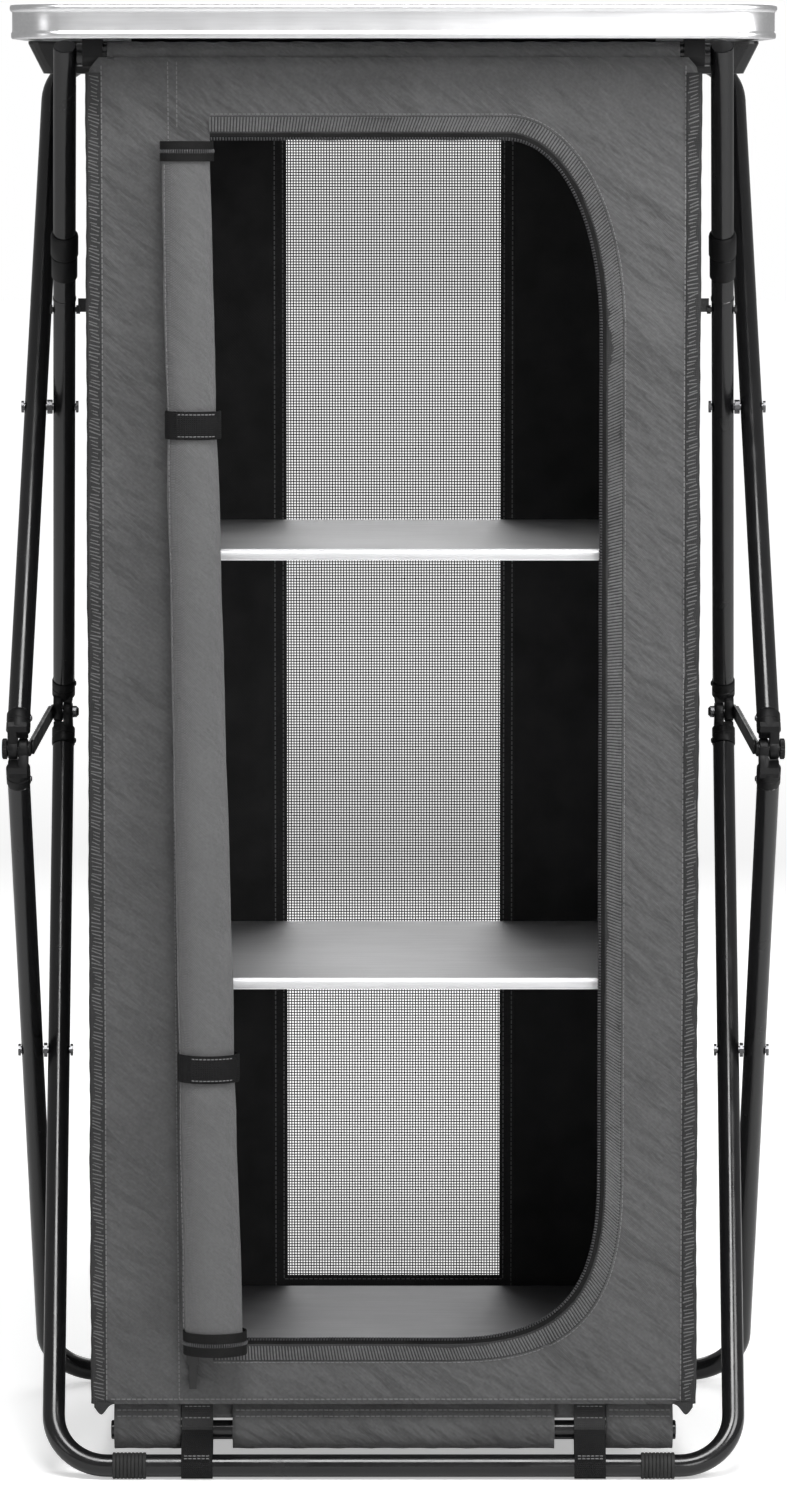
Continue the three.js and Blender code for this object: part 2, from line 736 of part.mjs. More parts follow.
/** The upper rear frame: one bent tube, its knees, knobs and the loops that hold the cloth. */
function buildRearUpper() {
  const group = new THREE.Group();
  const tube = uFrame(
    upperPinZ, outerMidX, outerTopX, topHalfDepth, topRailZ, outerUpperX(upperPinZ),
  );
  addPiece(group, 'top_rear_tube', tube, 'steel');
  addPiece(group, 'rear_top_flap', rearFlap(topHalfDepth, topRailZ, -1), 'cloth');
  for (const [name, side] of sides) {
    const knee = kneePiece(side, outerMidX, true, true, outerTopX, topRailZ);
    addPiece(group, `knee_front_upper_${name}`, knee, 'plastic', [0, -kneeHalfDepth, midPivotZ]);
    addPiece(
      group, `hinge_knob_${name}`, frontHingeKnob(side), 'plastic', [0, -kneeHalfDepth, midPivotZ],
    );
  }
  return group;
}

/** A cloth flap that wraps a rear rail and lies against the back of the cloth box. */
function rearFlap(railY, railZ, direction) {
  const inner = tubeRadius + clearance;
  const outer = inner + strapThickness;
  const tabY = boxBackY + clearance;
  const tabEnd = railZ + direction * flapLength;
  const ring = new THREE.Shape();
  ring.absarc(railY, railZ, outer, 0, 2 * Math.PI, false);
  const loop = platePiece(ring, -flapHalfWidth, flapHalfWidth, 10);
  const tab = boxBetween(
    [-flapHalfWidth, tabY, Math.min(railZ, tabEnd)],
    [flapHalfWidth, tabY + strapThickness, Math.max(railZ, tabEnd)],
  );
  const bridge = boxBetween(
    [-flapHalfWidth, Math.min(railY, tabY), railZ - 1],
    [flapHalfWidth, Math.max(railY, tabY + strapThickness), railZ + 1],
  );
  const hole = barAlongX(-flapHalfWidth - 1, flapHalfWidth + 1, inner + 0.05, 20);
  return cut(join(loop, tab, bridge), hole.translate(0, railY, railZ));
}

/** The rim profile of the table top, as inset and height, from inside to outside. */
function tableRim() {
  const profile = [
    [rimThickness, tableTopZ - panelThickness],
    [rimThickness, tableTopZ - 1],
    [rimThickness - 2, tableTopZ],
    [2, tableTopZ],
    [0, tableTopZ - 2],
    [0, tableTopZ - 5],
    [2, tableTopZ - 6.5],
    [2, rimBottomZ + 5],
    [1, rimBottomZ + 4],
    [1, rimBottomZ + 1],
    [2, rimBottomZ],
    [rimThickness, rimBottomZ],
  ];
  const loops = profile.map(([inset, z]) => roundLoop(
    tableWidth / 2 - inset, tableDepth / 2 - inset, rimCorner - inset, z, 0, 7,
  ));
  return loftLoops(loops.reverse(), true);
}

/** The table top: panel, rim, tray under it, rail clips and the cloth sleeve on the rail. */
function buildTable() {
  const group = new THREE.Group();
  const inset = rimThickness + clearance;
  const panel = foldedBoard(
    tableWidth / 2 - inset, tableDepth / 2 - inset, rimCorner - inset,
    tableTopZ - panelDrop, panelThickness - panelDrop,
  );
  addPiece(group, 'table_panel', panel, 'aluminium');
  addPiece(group, 'table_rim', tableRim(), 'aluminium');
  const trayTop = rimBottomZ - clearance;
  const trayMiddle = (trayFront + trayBack) / 2;
  const trayHalfDepth = (trayBack - trayFront) / 2;
  const trayLoop = (thin, z, splay) => roundLoop(
    tableWidth / 2 - 4 - splay - thin, trayHalfDepth - thin - splay / 3, 8, z, trayMiddle, 3,
  );
  const tray = loftLoops([
    trayLoop(0, trayTop - trayDrop, traySplay),
    trayLoop(0, trayTop - 2, 0),
    trayLoop(0, trayTop, 0),
    trayLoop(trayWall, trayTop, 0),
    trayLoop(trayWall, trayTop - 2, 0),
    trayLoop(trayWall, trayTop - trayDrop + trayWall, traySplay),
  ]);
  addPiece(group, 'table_tray', tray, 'plastic');
  for (const [name, side] of sides) {
    const clip = railClip();
    addPiece(group, `rail_clip_${name}`, clip, 'plastic', [side * clipX, -topHalfDepth, topRailZ]);
  }
  const pad = boxBetween(
    [-padHalfLength, -padHalfWidth, topRailZ + tubeRadius + clearance + strapThickness + clearance],
    [padHalfLength, padHalfWidth, panelUnderZ - clearance],
  );
  addPiece(group, 'rest_pad', pad, 'plastic', [0, topHalfDepth, 0]);
  const sleeve = new THREE.Shape();
  sleeve.absarc(0, 0, bore + clothThickness * 0.8, 0, 2 * Math.PI, false);
  const hole = new THREE.Path();
  hole.absarc(0, 0, bore, 0, 2 * Math.PI, true);
  sleeve.holes.push(hole);
  const cloth = platePiece(sleeve, -topSleeveHalfLength, topSleeveHalfLength, 10);
  addPiece(group, 'top_cloth_sleeve', cloth, 'cloth', [0, -topHalfDepth, topRailZ]);
  return group;
}

/** A clip that hangs the table top on the front rail. */
function railClip() {
  const half = clipHalfWidth;
  const block = boxBetween(
    [-half, -clipReach, 0], [half, clipReach, panelUnderZ - clearance - topRailZ],
  );
  const ring = barAlongX(-half, half, clipReach, 16);
  const hole = barAlongX(-half - 1, half + 1, bore + 0.15, 16);
  return cut(join(block, ring), hole);
}

/** The front strap: a webbing loop round the front rail and the hem rod. */
function frontStrap(side) {
  const low = { y: -baseHalfDepth, z: baseRailZ, r: tubeRadius + clearance };
  const high = { y: -hemRodY, z: hemRodZ, r: hemRodRadius + clearance };
  const half = strapWidth / 2;
  const shape = beltOutline(low, high, strapThickness, THREE.Shape);
  shape.holes.push(beltOutline(low, high, 0, THREE.Path));
  return platePiece(shape, side * strapX - half, side * strapX + half, 10);
}

/** The outline of a belt round two circles, with an offset outwards. */
function beltOutline(low, high, offset, kind) {
  const angle = Math.atan2(high.z - low.z, high.y - low.y);
  const distance = Math.hypot(high.z - low.z, high.y - low.y);
  const tilt = Math.acos((low.r - high.r) / distance);
  const points = [];
  const steps = 9;
  for (let step = 0; step <= steps; step += 1) {
    const turn = angle + tilt + (2 * Math.PI - 2 * tilt) * step / steps;
    const radius = (low.r + offset) / Math.cos((Math.PI - tilt) / steps);
    points.push(new THREE.Vector2(low.y + radius * Math.cos(turn), low.z + radius * Math.sin(turn)));
  }
  for (let step = 0; step <= steps; step += 1) {
    const turn = angle - tilt + 2 * tilt * step / steps;
    const radius = (high.r + offset) / Math.cos(tilt / steps);
    points.push(new THREE.Vector2(high.y + radius * Math.cos(turn), high.z + radius * Math.sin(turn)));
  }
  return new kind(points);
}

/** A cloth hem that hangs from the box and wraps the hem rod, with a notch for each strap. */
function hemSleeve() {
  const end = hemRodHalfLength - 2;
  const inner = hemRodRadius + clearance;
  const ring = new THREE.Shape();
  ring.absarc(-hemRodY, hemRodZ, inner + 1.2, 0, 2 * Math.PI, false);
  const loop = platePiece(ring, -end, end, 10);
  const web = boxBetween([-end, -hemRodY - 2, hemRodZ], [end, -hemRodY + 2, boxBottomZ - clearance]);
  const hole = barAlongX(-end - 1, end + 1, inner, 16).translate(0, -hemRodY, hemRodZ);
  const notches = sides.map(([, side]) => {
    const near = side * (strapX - strapWidth / 2 - notchInside);
    const far = side * (strapX + strapWidth / 2 + clearance);
    return boxBetween(
      [Math.min(near, far), -hemRodY - 30, 0],
      [Math.max(near, far), -hemRodY + 30, hemRodZ + hemRodRadius + strapThickness + 1],
    );
  });
  return cut(join(loop, web), hole, ...notches);
}

/** The cloth box: its panels, window, hems, rods, straps and rolled door. */
function buildBox() {
  const group = new THREE.Group();
  addPiece(group, 'cloth_front', frontPanel(), 'cloth');
  addPiece(group, 'cloth_back', backPanel(), 'cloth');
  addPiece(group, 'window_net', windowNet(), 'net');
  const inside = boxBackY - clothThickness - clearance;
  for (const [name, side] of sides) {
    addPiece(group, `strap_front_${name}`, frontStrap(side), 'webbing');
  }
  addPiece(group, 'cloth_walls', clothWalls(inside), 'cloth');
  addPiece(group, 'hem_front', hemSleeve(), 'cloth');
  const rod = barAlongX(-hemRodHalfLength, hemRodHalfLength, hemRodRadius);
  addPiece(group, 'hem_rod', rod, 'steel', [0, -hemRodY, hemRodZ]);
  const wall = boxHalfWidth - clothThickness - clearance;
  const top = boxBetween([-wall, -topHalfDepth + 13, boxTopZ - clothThickness], [wall, inside, boxTopZ]);
  addPiece(group, 'cloth_top', top, 'cloth');
  addPiece(group, 'door_roll', doorRoll(), 'cloth');
  rollStrapRise.forEach((rise, index) => {
    const name = index ? 'roll_strap_upper' : 'roll_strap_lower';
    addPiece(group, name, rollStrap(boxBottomZ + rise), 'webbing');
  });
  return group;
}

/** The middle and the half width of the rolled door at a height. */
function rollAt(z) {
  const share = (z - rollBottomZ) / (rollTopZ - rollBottomZ);
  const radius = rollBottomRadius + (rollTopRadius - rollBottomRadius) * share;
  const backY = boxFrontY - clearance;
  return {
    x: rollBottomX + (rollTopX - rollBottomX) * share,
    y: backY - radius * rollFlatness,
    radius,
  };
}

/** The front cloth with the door opening: one edge straight, the other with round corners. */
function frontPanel() {
  const low = -boxHalfWidth;
  const shape = outline([
    [low, boxBottomZ], [-low, boxBottomZ], [-low, frontTopZ - 14],
    [-low - 8, frontTopZ], [low + 8, frontTopZ], [low, frontTopZ - 14],
  ]);
  const hole = new THREE.Path();
  hole.moveTo(doorLeft, doorTopZ);
  hole.lineTo(doorRight - doorCorner, doorTopZ);
  hole.absarc(doorRight - doorCorner, doorTopZ - doorCorner, doorCorner, Math.PI / 2, 0, true);
  hole.lineTo(doorRight, doorBottomZ + doorCorner);
  hole.absarc(doorRight - doorCorner, doorBottomZ + doorCorner, doorCorner, 0, -Math.PI / 2, true);
  hole.lineTo(doorLeft, doorBottomZ);
  shape.holes.push(hole);
  return panelPiece(shape, boxFrontY, boxFrontY + clothThickness);
}

/** The back cloth with the window opening. */
function backPanel() {
  const shape = outline([
    [-boxHalfWidth, boxBottomZ], [boxHalfWidth, boxBottomZ],
    [boxHalfWidth, boxTopZ], [-boxHalfWidth, boxTopZ],
  ]);
  const hole = new THREE.Path([
    [-windowHalfWidth, windowBottomZ], [-windowHalfWidth, windowTopZ],
    [windowHalfWidth, windowTopZ], [windowHalfWidth, windowBottomZ],
  ].map(([x, z]) => new THREE.Vector2(x, z)));
  shape.holes.push(hole);
  return panelPiece(shape, boxBackY - clothThickness, boxBackY);
}

/** The grid lines of a net between two edges: a bar, a gap, a bar and so on. */
function netLines(low, high, gaps) {
  const pitch = (high - low - netBar) / gaps;
  const lines = [];
  for (let index = 0; index <= gaps; index += 1) {
    lines.push(low + index * pitch, low + index * pitch + netBar);
  }
  return lines;
}

/** The flat net in the back window, with a grid of gaps, as one closed surface. */
function windowNet() {
  const half = windowHalfWidth - clearance;
  const xs = netLines(-half, half, netColumns);
  const zs = netLines(windowBottomZ + clearance, windowTopZ - clearance, netRows);
  const back = boxBackY - 0.3;
  const front = boxBackY - clothThickness + 0.2;
  const positions = [];
  for (const y of [front, back]) {
    for (const z of zs) {
      for (const x of xs) {
        positions.push(x, y, z);
      }
    }
  }
  const corner = (layer, row, column) => (layer * zs.length + row) * xs.length + column;
  const solid = (row, column) => {
    const inside = row >= 0 && column >= 0 && row < zs.length - 1 && column < xs.length - 1;
    return inside && (row % 2 === 0 || column % 2 === 0);
  };
  const faces = [];
  const quad = (a, b, c, d) => faces.push(a, b, c, a, c, d);
  for (let row = 0; row < zs.length - 1; row += 1) {
    for (let column = 0; column < xs.length - 1; column += 1) {
      if (!solid(row, column)) {
        continue;
      }
      const at = (layer, up, across) => corner(layer, row + up, column + across);
      quad(at(0, 0, 0), at(0, 0, 1), at(0, 1, 1), at(0, 1, 0));
      quad(at(1, 0, 0), at(1, 1, 0), at(1, 1, 1), at(1, 0, 1));
      if (!solid(row - 1, column)) {
        quad(at(0, 0, 0), at(1, 0, 0), at(1, 0, 1), at(0, 0, 1));
      }
      if (!solid(row + 1, column)) {
        quad(at(0, 1, 0), at(0, 1, 1), at(1, 1, 1), at(1, 1, 0));
      }
      if (!solid(row, column - 1)) {
        quad(at(0, 0, 0), at(0, 1, 0), at(1, 1, 0), at(1, 0, 0));
      }
      if (!solid(row, column + 1)) {
        quad(at(0, 0, 1), at(1, 0, 1), at(1, 1, 1), at(0, 1, 1));
      }
    }
  }
  const geometry = new THREE.BufferGeometry();
  geometry.setAttribute('position', new THREE.Float32BufferAttribute(positions, 3));
  geometry.setIndex(faces);
  return geometry;
}

/** The cloth of both sides and the floor, with the ledges that the middle shelves lie on. */
function clothWalls(inside) {
  const face = boxHalfWidth;
  const back = boxHalfWidth - clothThickness;
  const ledge = back - ledgeWidth;
  const half = [[face, boxBottomZ], [face, boxTopZ], [back, boxTopZ]];
  for (const shelfTop of [upperShelfTopZ, lowerShelfTopZ]) {
    const seat = shelfTop - shelfThickness - clearance;
    const under = seat - clothThickness;
    half.push([back, seat], [ledge, seat], [ledge, under], [back, under]);
  }
  half.push([back, boxBottomZ + clothThickness]);
  const mirrored = half.map(([x, z]) => [-x, z]).reverse();
  return panelPiece(outline([...half, ...mirrored]), -inside, inside);
}

/** The rolled-up door: cloth rolled in a flat spiral, narrower and further left at its top. */
function doorRoll() {
  const loops = [];
  const turns = 22;
  const levels = 6;
  const lip = 0.08;
  for (let level = 0; level <= levels; level += 1) {
    const z = rollBottomZ + (rollTopZ - rollBottomZ) * level / levels;
    const { x, y, radius } = rollAt(z);
    const loop = [];
    for (let step = 0; step < turns; step += 1) {
      const angle = 2 * Math.PI * (step / turns + 0.4);
      const reach = radius * (1 - lip * step / turns);
      loop.push([x + reach * Math.cos(angle), y + rollFlatness * reach * Math.sin(angle), z]);
    }
    loops.push(loop);
  }
  return loftLoops(loops);
}

/** A band round the front of the rolled door, with both its ends on the front cloth. */
function rollStrap(middleZ) {
  const { x, y, radius } = rollAt(middleZ);
  const inner = radius + rollSlack;
  const outer = inner + rollStrapThickness;
  const innerDepth = radius * rollFlatness + rollSlack;
  const outerDepth = innerDepth + rollStrapThickness;
  const shape = new THREE.Shape();
  shape.absellipse(x, y, outer, outerDepth, 0, 2 * Math.PI, false, 0);
  const hole = new THREE.Path();
  hole.absellipse(x, y, inner, innerDepth, 0, 2 * Math.PI, true, 0);
  shape.holes.push(hole);
  const options = { depth: rollStrapHeight, bevelEnabled: false, curveSegments: 11 };
  const low = middleZ - rollStrapHeight / 2;
  const band = new THREE.ExtrudeGeometry(shape, options).translate(0, 0, low);
  const behind = boxBetween(
    [x - outer - 1, boxFrontY - clearance, low - 1],
    [x + outer + 1, boxFrontY + outer, low + rollStrapHeight + 1],
  );
  return cut(band, behind);
}

/** A board of folded sheet, open underneath, with an edge that is turned down. */
function foldedBoard(halfX, halfY, corner, topZ, depth) {
  const loop = (inset, z) => roundLoop(halfX - inset, halfY - inset, corner - inset, z, 0, 4);
  return loftLoops([
    loop(sheetThickness, topZ - sheetThickness),
    loop(sheetThickness, topZ - depth),
    loop(0, topZ - depth),
    loop(0, topZ - edgeRound),
    loop(edgeRound, topZ),
  ]);
}

/** A shelf of folded sheet. */
function shelfBoard(topZ, thickness) {
  return foldedBoard(shelfHalfWidth, shelfHalfDepth, shelfCorner, topZ, thickness);
}

/** The three shelf boards. */
function buildShelves() {
  const group = new THREE.Group();
  addPiece(group, 'shelf_upper', shelfBoard(upperShelfTopZ, shelfThickness), 'board');
  addPiece(group, 'shelf_lower', shelfBoard(lowerShelfTopZ, shelfThickness), 'board');
  addPiece(group, 'shelf_floor', shelfBoard(floorShelfTopZ, floorShelfThickness), 'board');
  return group;
}

/** The zip slider with its pull, at the lower left end of the door opening. */
function buildZip() {
  const group = new THREE.Group();
  const front = boxFrontY - clearance;
  const body = boxBetween(
    [-sliderHalfWidth, front - sliderDepth, -sliderHalfHeight],
    [sliderHalfWidth, front, sliderHalfHeight],
  );
  const pull = boxBetween(
    [-pullHalfWidth, front - sliderDepth + 1, -sliderHalfHeight - pullLength],
    [pullHalfWidth, front - 1, 1 - sliderHalfHeight],
  );
  const place = [doorLeft - sliderReach, 0, doorBottomZ - sliderDrop];
  addPiece(group, 'zip_slider', join(body, pull), 'bolt', place);
  return group;
}

cabinet.add(
  buildFrontBase(), buildRearBase(), buildFrontUpper(), buildRearUpper(), buildBraces(),
  buildTable(), buildBox(), buildShelves(), buildZip(),
);

export default cabinet;
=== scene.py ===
"""Blender scene of a folding camping storage cabinet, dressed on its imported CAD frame.

Lengths in this script are millimetres, in the frame of the CAD model: +Z up, -Y out of the
door and the origin on the floor. They are turned into metres where a mesh is made.
"""

from __future__ import annotations

import dataclasses
import enum
import functools
import json
import logging
import math
import random
from collections.abc import Callable, Iterable, Sequence

import bmesh
import bpy
from mathutils import Matrix, Vector, noise

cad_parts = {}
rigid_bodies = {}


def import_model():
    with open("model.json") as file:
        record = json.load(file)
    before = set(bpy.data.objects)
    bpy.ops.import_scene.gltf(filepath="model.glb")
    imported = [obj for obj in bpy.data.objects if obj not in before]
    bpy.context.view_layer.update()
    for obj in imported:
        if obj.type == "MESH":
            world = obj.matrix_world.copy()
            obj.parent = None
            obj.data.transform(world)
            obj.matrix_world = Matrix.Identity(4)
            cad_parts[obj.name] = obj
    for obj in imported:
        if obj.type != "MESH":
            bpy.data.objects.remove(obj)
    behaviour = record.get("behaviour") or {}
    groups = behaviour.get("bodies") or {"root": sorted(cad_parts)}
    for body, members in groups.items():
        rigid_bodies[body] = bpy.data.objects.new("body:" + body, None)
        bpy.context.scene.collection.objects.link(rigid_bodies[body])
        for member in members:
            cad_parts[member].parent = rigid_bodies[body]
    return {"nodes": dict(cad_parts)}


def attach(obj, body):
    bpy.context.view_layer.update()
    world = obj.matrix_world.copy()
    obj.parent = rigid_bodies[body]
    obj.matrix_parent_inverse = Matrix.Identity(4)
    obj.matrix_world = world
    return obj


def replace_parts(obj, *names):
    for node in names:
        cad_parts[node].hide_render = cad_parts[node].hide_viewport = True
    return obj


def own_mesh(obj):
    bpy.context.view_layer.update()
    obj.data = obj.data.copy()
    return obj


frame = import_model()

log = logging.getLogger("cabinet")

Pair = tuple[float, float]
Point = tuple[float, float, float]
Shape = tuple[list[Point], list[list[int]]]

MM = 0.001
SIDES = ((-1, "left"), (1, "right"))
FRONTWARD = Vector((0, -1, 0))
REARWARD = Vector((0, 1, 0))
SHARP_ANGLE = math.radians(38)

# The steel frame, by the middles of its tubes
TUBE = 9.0
BEND = 44.0
BASE_HALF = 203.0
BASE_Z = 10.625
LOWER_PIN_Z = 317.0
KNEE_Z = 582.0
UPPER_PIN_Z = 847.0
TOP_Z = 1132.0
TOP_HALF = 188.84
KNEE_HALF = 162.41
INNER_X = {"base": 272.0, "knee": 279.0, "top": 258.0}
OUTER_X = {"base": 296.0, "knee": 299.0, "top": 285.0}
ARM_ANGLE = math.atan2(LOWER_PIN_Z - BASE_Z, BASE_HALF)
ARM_COS = math.cos(ARM_ANGLE)
ARM_SIN = math.sin(ARM_ANGLE)
COLLAR_REACH = 284.24

# The cloth box, its door opening and its window
CLOTH_THICK = 0.9
BOX_HALF = 240.0
BOX_FRONT = -201.5
BOX_BACK = 201.5
BOX_LOW = 60.0
BOX_TOP = 1108.0
FRONT_TOP = 1130.0
OPEN_LEFT = -144.0
OPEN_RIGHT = 168.0
OPEN_LOW = 108.0
OPEN_TOP = 1071.0
WINDOW_HALF = 92.0
WINDOW_LOW = 92.0
WINDOW_TOP = 1066.0
SHELF_TOPS = {"upper_shelf": 743.0, "lower_shelf": 401.0}

# The rolled door, by height, X place and radius at its two ends, and the rod in the hem
ROLL_LOW = (106.0, -141.5, 25.0)
ROLL_TOP = (1064.0, -162.0, 20.5)
ROLL_FLAT = 0.83
ROLL_BACK = -201.8
STRAP_HEIGHTS = (335.0, 843.0)
HEM_ROD_Y = -184.0
HEM_ROD_Z = 36.0


class Pattern(enum.Enum):
    """The surface detail that a finish carries."""

    WEAVE = "weave"
    RIBBED = "ribbed"
    BRUSHED = "brushed"
    PEEL = "peel"
    GRAIN = "grain"


@dataclasses.dataclass(frozen=True)
class Finish:
    """A procedural material and the record's slot that it stands for.

    Attributes:
        name: The name of the Blender material.
        slot: The material slot in the record.
        colour: Linear colour at the middle of its variation.
        roughness: Roughness at the middle of its variation.
        pattern: The kind of small relief.
        pitch: The spacing of the relief in millimetres.
        relief: The height of the relief in millimetres.
        variation: Share by which the colour varies over the surface.
        metallic: How metallic the surface is.
        sheen: Weight of the soft fabric sheen.
        crease: The depth of the slanting creases of a cloth in millimetres.
        shine: How strongly a surface that isn't metal mirrors its room.
    """

    name: str
    slot: str
    colour: Point
    roughness: float
    pattern: Pattern
    pitch: float
    relief: float
    variation: float
    metallic: float = 0.0
    sheen: float = 0.0
    crease: float = 0.0
    shine: float = 0.5


POWDER = Finish("powder_coat", "black_steel", (0.006, 0.006, 0.0065), 0.2,
                Pattern.PEEL, 1.1, 0.03, 0.12)
HINGE = Finish("moulded_nylon", "hinge_plastic", (0.0035, 0.0035, 0.0038), 0.5,
               Pattern.GRAIN, 0.7, 0.03, 0.15, shine=0.22)
TRAY = Finish("dark_tray", "tray_plastic", (0.008, 0.008, 0.0085), 0.32,
              Pattern.GRAIN, 0.9, 0.03, 0.12)
RIVET = Finish("plated_steel", "rivet_steel", (0.12, 0.12, 0.124), 0.24,
               Pattern.PEEL, 0.8, 0.02, 0.12, metallic=1.0)
BAR = Finish("blackened_bar", "black_steel", (0.004, 0.004, 0.0043), 0.55,
             Pattern.PEEL, 1.1, 0.03, 0.12, shine=0.22)
BLACKENED = Finish("blackened_fastener", "rivet_steel", (0.006, 0.006, 0.0063), 0.36,
                   Pattern.PEEL, 0.8, 0.02, 0.12)
RIM = Finish("rim_aluminium", "rim_aluminium", (0.8, 0.8, 0.81), 0.32,
             Pattern.BRUSHED, 0.5, 0.02, 0.05, metallic=1.0)
TABLE = Finish("table_aluminium", "table_aluminium", (0.78, 0.78, 0.79), 0.36,
               Pattern.BRUSHED, 0.5, 0.03, 0.08, metallic=1.0)
SHELF = Finish("shelf_aluminium", "shelf_aluminium", (0.7, 0.7, 0.71), 0.5,
               Pattern.BRUSHED, 0.6, 0.03, 0.08, metallic=1.0)
# Painted shade: the floor shelf is the shelves' aluminium made darker, for the shade low in the box.
SHADED_FLOOR_SHELF = Finish("floor_shelf_aluminium_painted_shade", "shelf_aluminium", (0.42, 0.42, 0.43), 0.5,
                     Pattern.BRUSHED, 0.6, 0.03, 0.08, metallic=1.0)
RUBBER = Finish("foot_rubber", "rubber", (0.012, 0.012, 0.012), 0.72,
                Pattern.GRAIN, 0.6, 0.05, 0.2)
CLOTH = Finish("oxford_cloth", "cabinet_cloth", (0.074, 0.074, 0.0752), 0.82,
               Pattern.WEAVE, 1.3, 0.16, 0.2, sheen=0.15, crease=5.5)
DOOR = Finish("door_cloth", "door_cloth", (0.1, 0.1, 0.1015), 0.78,
              Pattern.WEAVE, 1.3, 0.16, 0.12, sheen=0.15, crease=2.0)
# Dark coating on the cloth's inside, made near black as painted shade for the inside of the box.
COATING_AND_SHADE = Finish("dark_coating_and_painted_shade", "cabinet_cloth", (0.005, 0.005, 0.0052), 0.7,
                 Pattern.WEAVE, 1.3, 0.08, 0.15)
BINDING = Finish("edge_binding", "cabinet_cloth", (0.018, 0.018, 0.0185), 0.84,
                 Pattern.RIBBED, 1.6, 0.12, 0.2)
THREAD = Finish("sewing_thread", "cabinet_cloth", (0.15, 0.15, 0.152), 0.7,
                Pattern.GRAIN, 0.4, 0.04, 0.15, sheen=0.2)
OVERLOCK = Finish("overlock_thread", "cabinet_cloth", (0.095, 0.095, 0.0965), 0.7,
                  Pattern.GRAIN, 0.4, 0.04, 0.25)
WEBBING = Finish("woven_webbing", "webbing", (0.0045, 0.0045, 0.0048), 0.8,
                 Pattern.RIBBED, 1.5, 0.2, 0.25, shine=0.25)
ZIP_TAPE = Finish("zip_tape", "webbing", (0.004, 0.004, 0.004), 0.78,
                  Pattern.WEAVE, 0.8, 0.08, 0.2, shine=0.25)
ZIP_COIL = Finish("zip_coil", "webbing", (0.045, 0.045, 0.047), 0.35,
                  Pattern.PEEL, 0.6, 0.02, 0.15)
NET = Finish("window_mesh", "window_net", (0.02, 0.02, 0.021), 0.75,
             Pattern.RIBBED, 0.5, 0.04, 0.2, sheen=0.1)


def feed(node: bpy.types.Node, inputs: dict[str | int, object]) -> None:
    """Sets the inputs of a shader node.

    Args:
        node: The node.
        inputs: For each input, its constant or the socket that is linked into it.
    """
    for key, value in inputs.items():
        if isinstance(value, bpy.types.NodeSocket):
            node.id_data.links.new(value, node.inputs[key])
        else:
            node.inputs[key].default_value = value


def add_node(tree: bpy.types.NodeTree, kind: str, inputs: dict[str | int, object],
             operation: str = "") -> bpy.types.NodeOutputs:
    """Adds a shader node.

    Args:
        tree: The node tree.
        kind: The node's type, without its usual prefix.
        inputs: For each input, its constant or the socket that is linked into it.
        operation: What a node that reckons does.

    Returns:
        The node's outputs.
    """
    node = tree.nodes.new(f"ShaderNode{kind}")
    if operation:
        node.operation = operation
    feed(node, inputs)
    return node.outputs


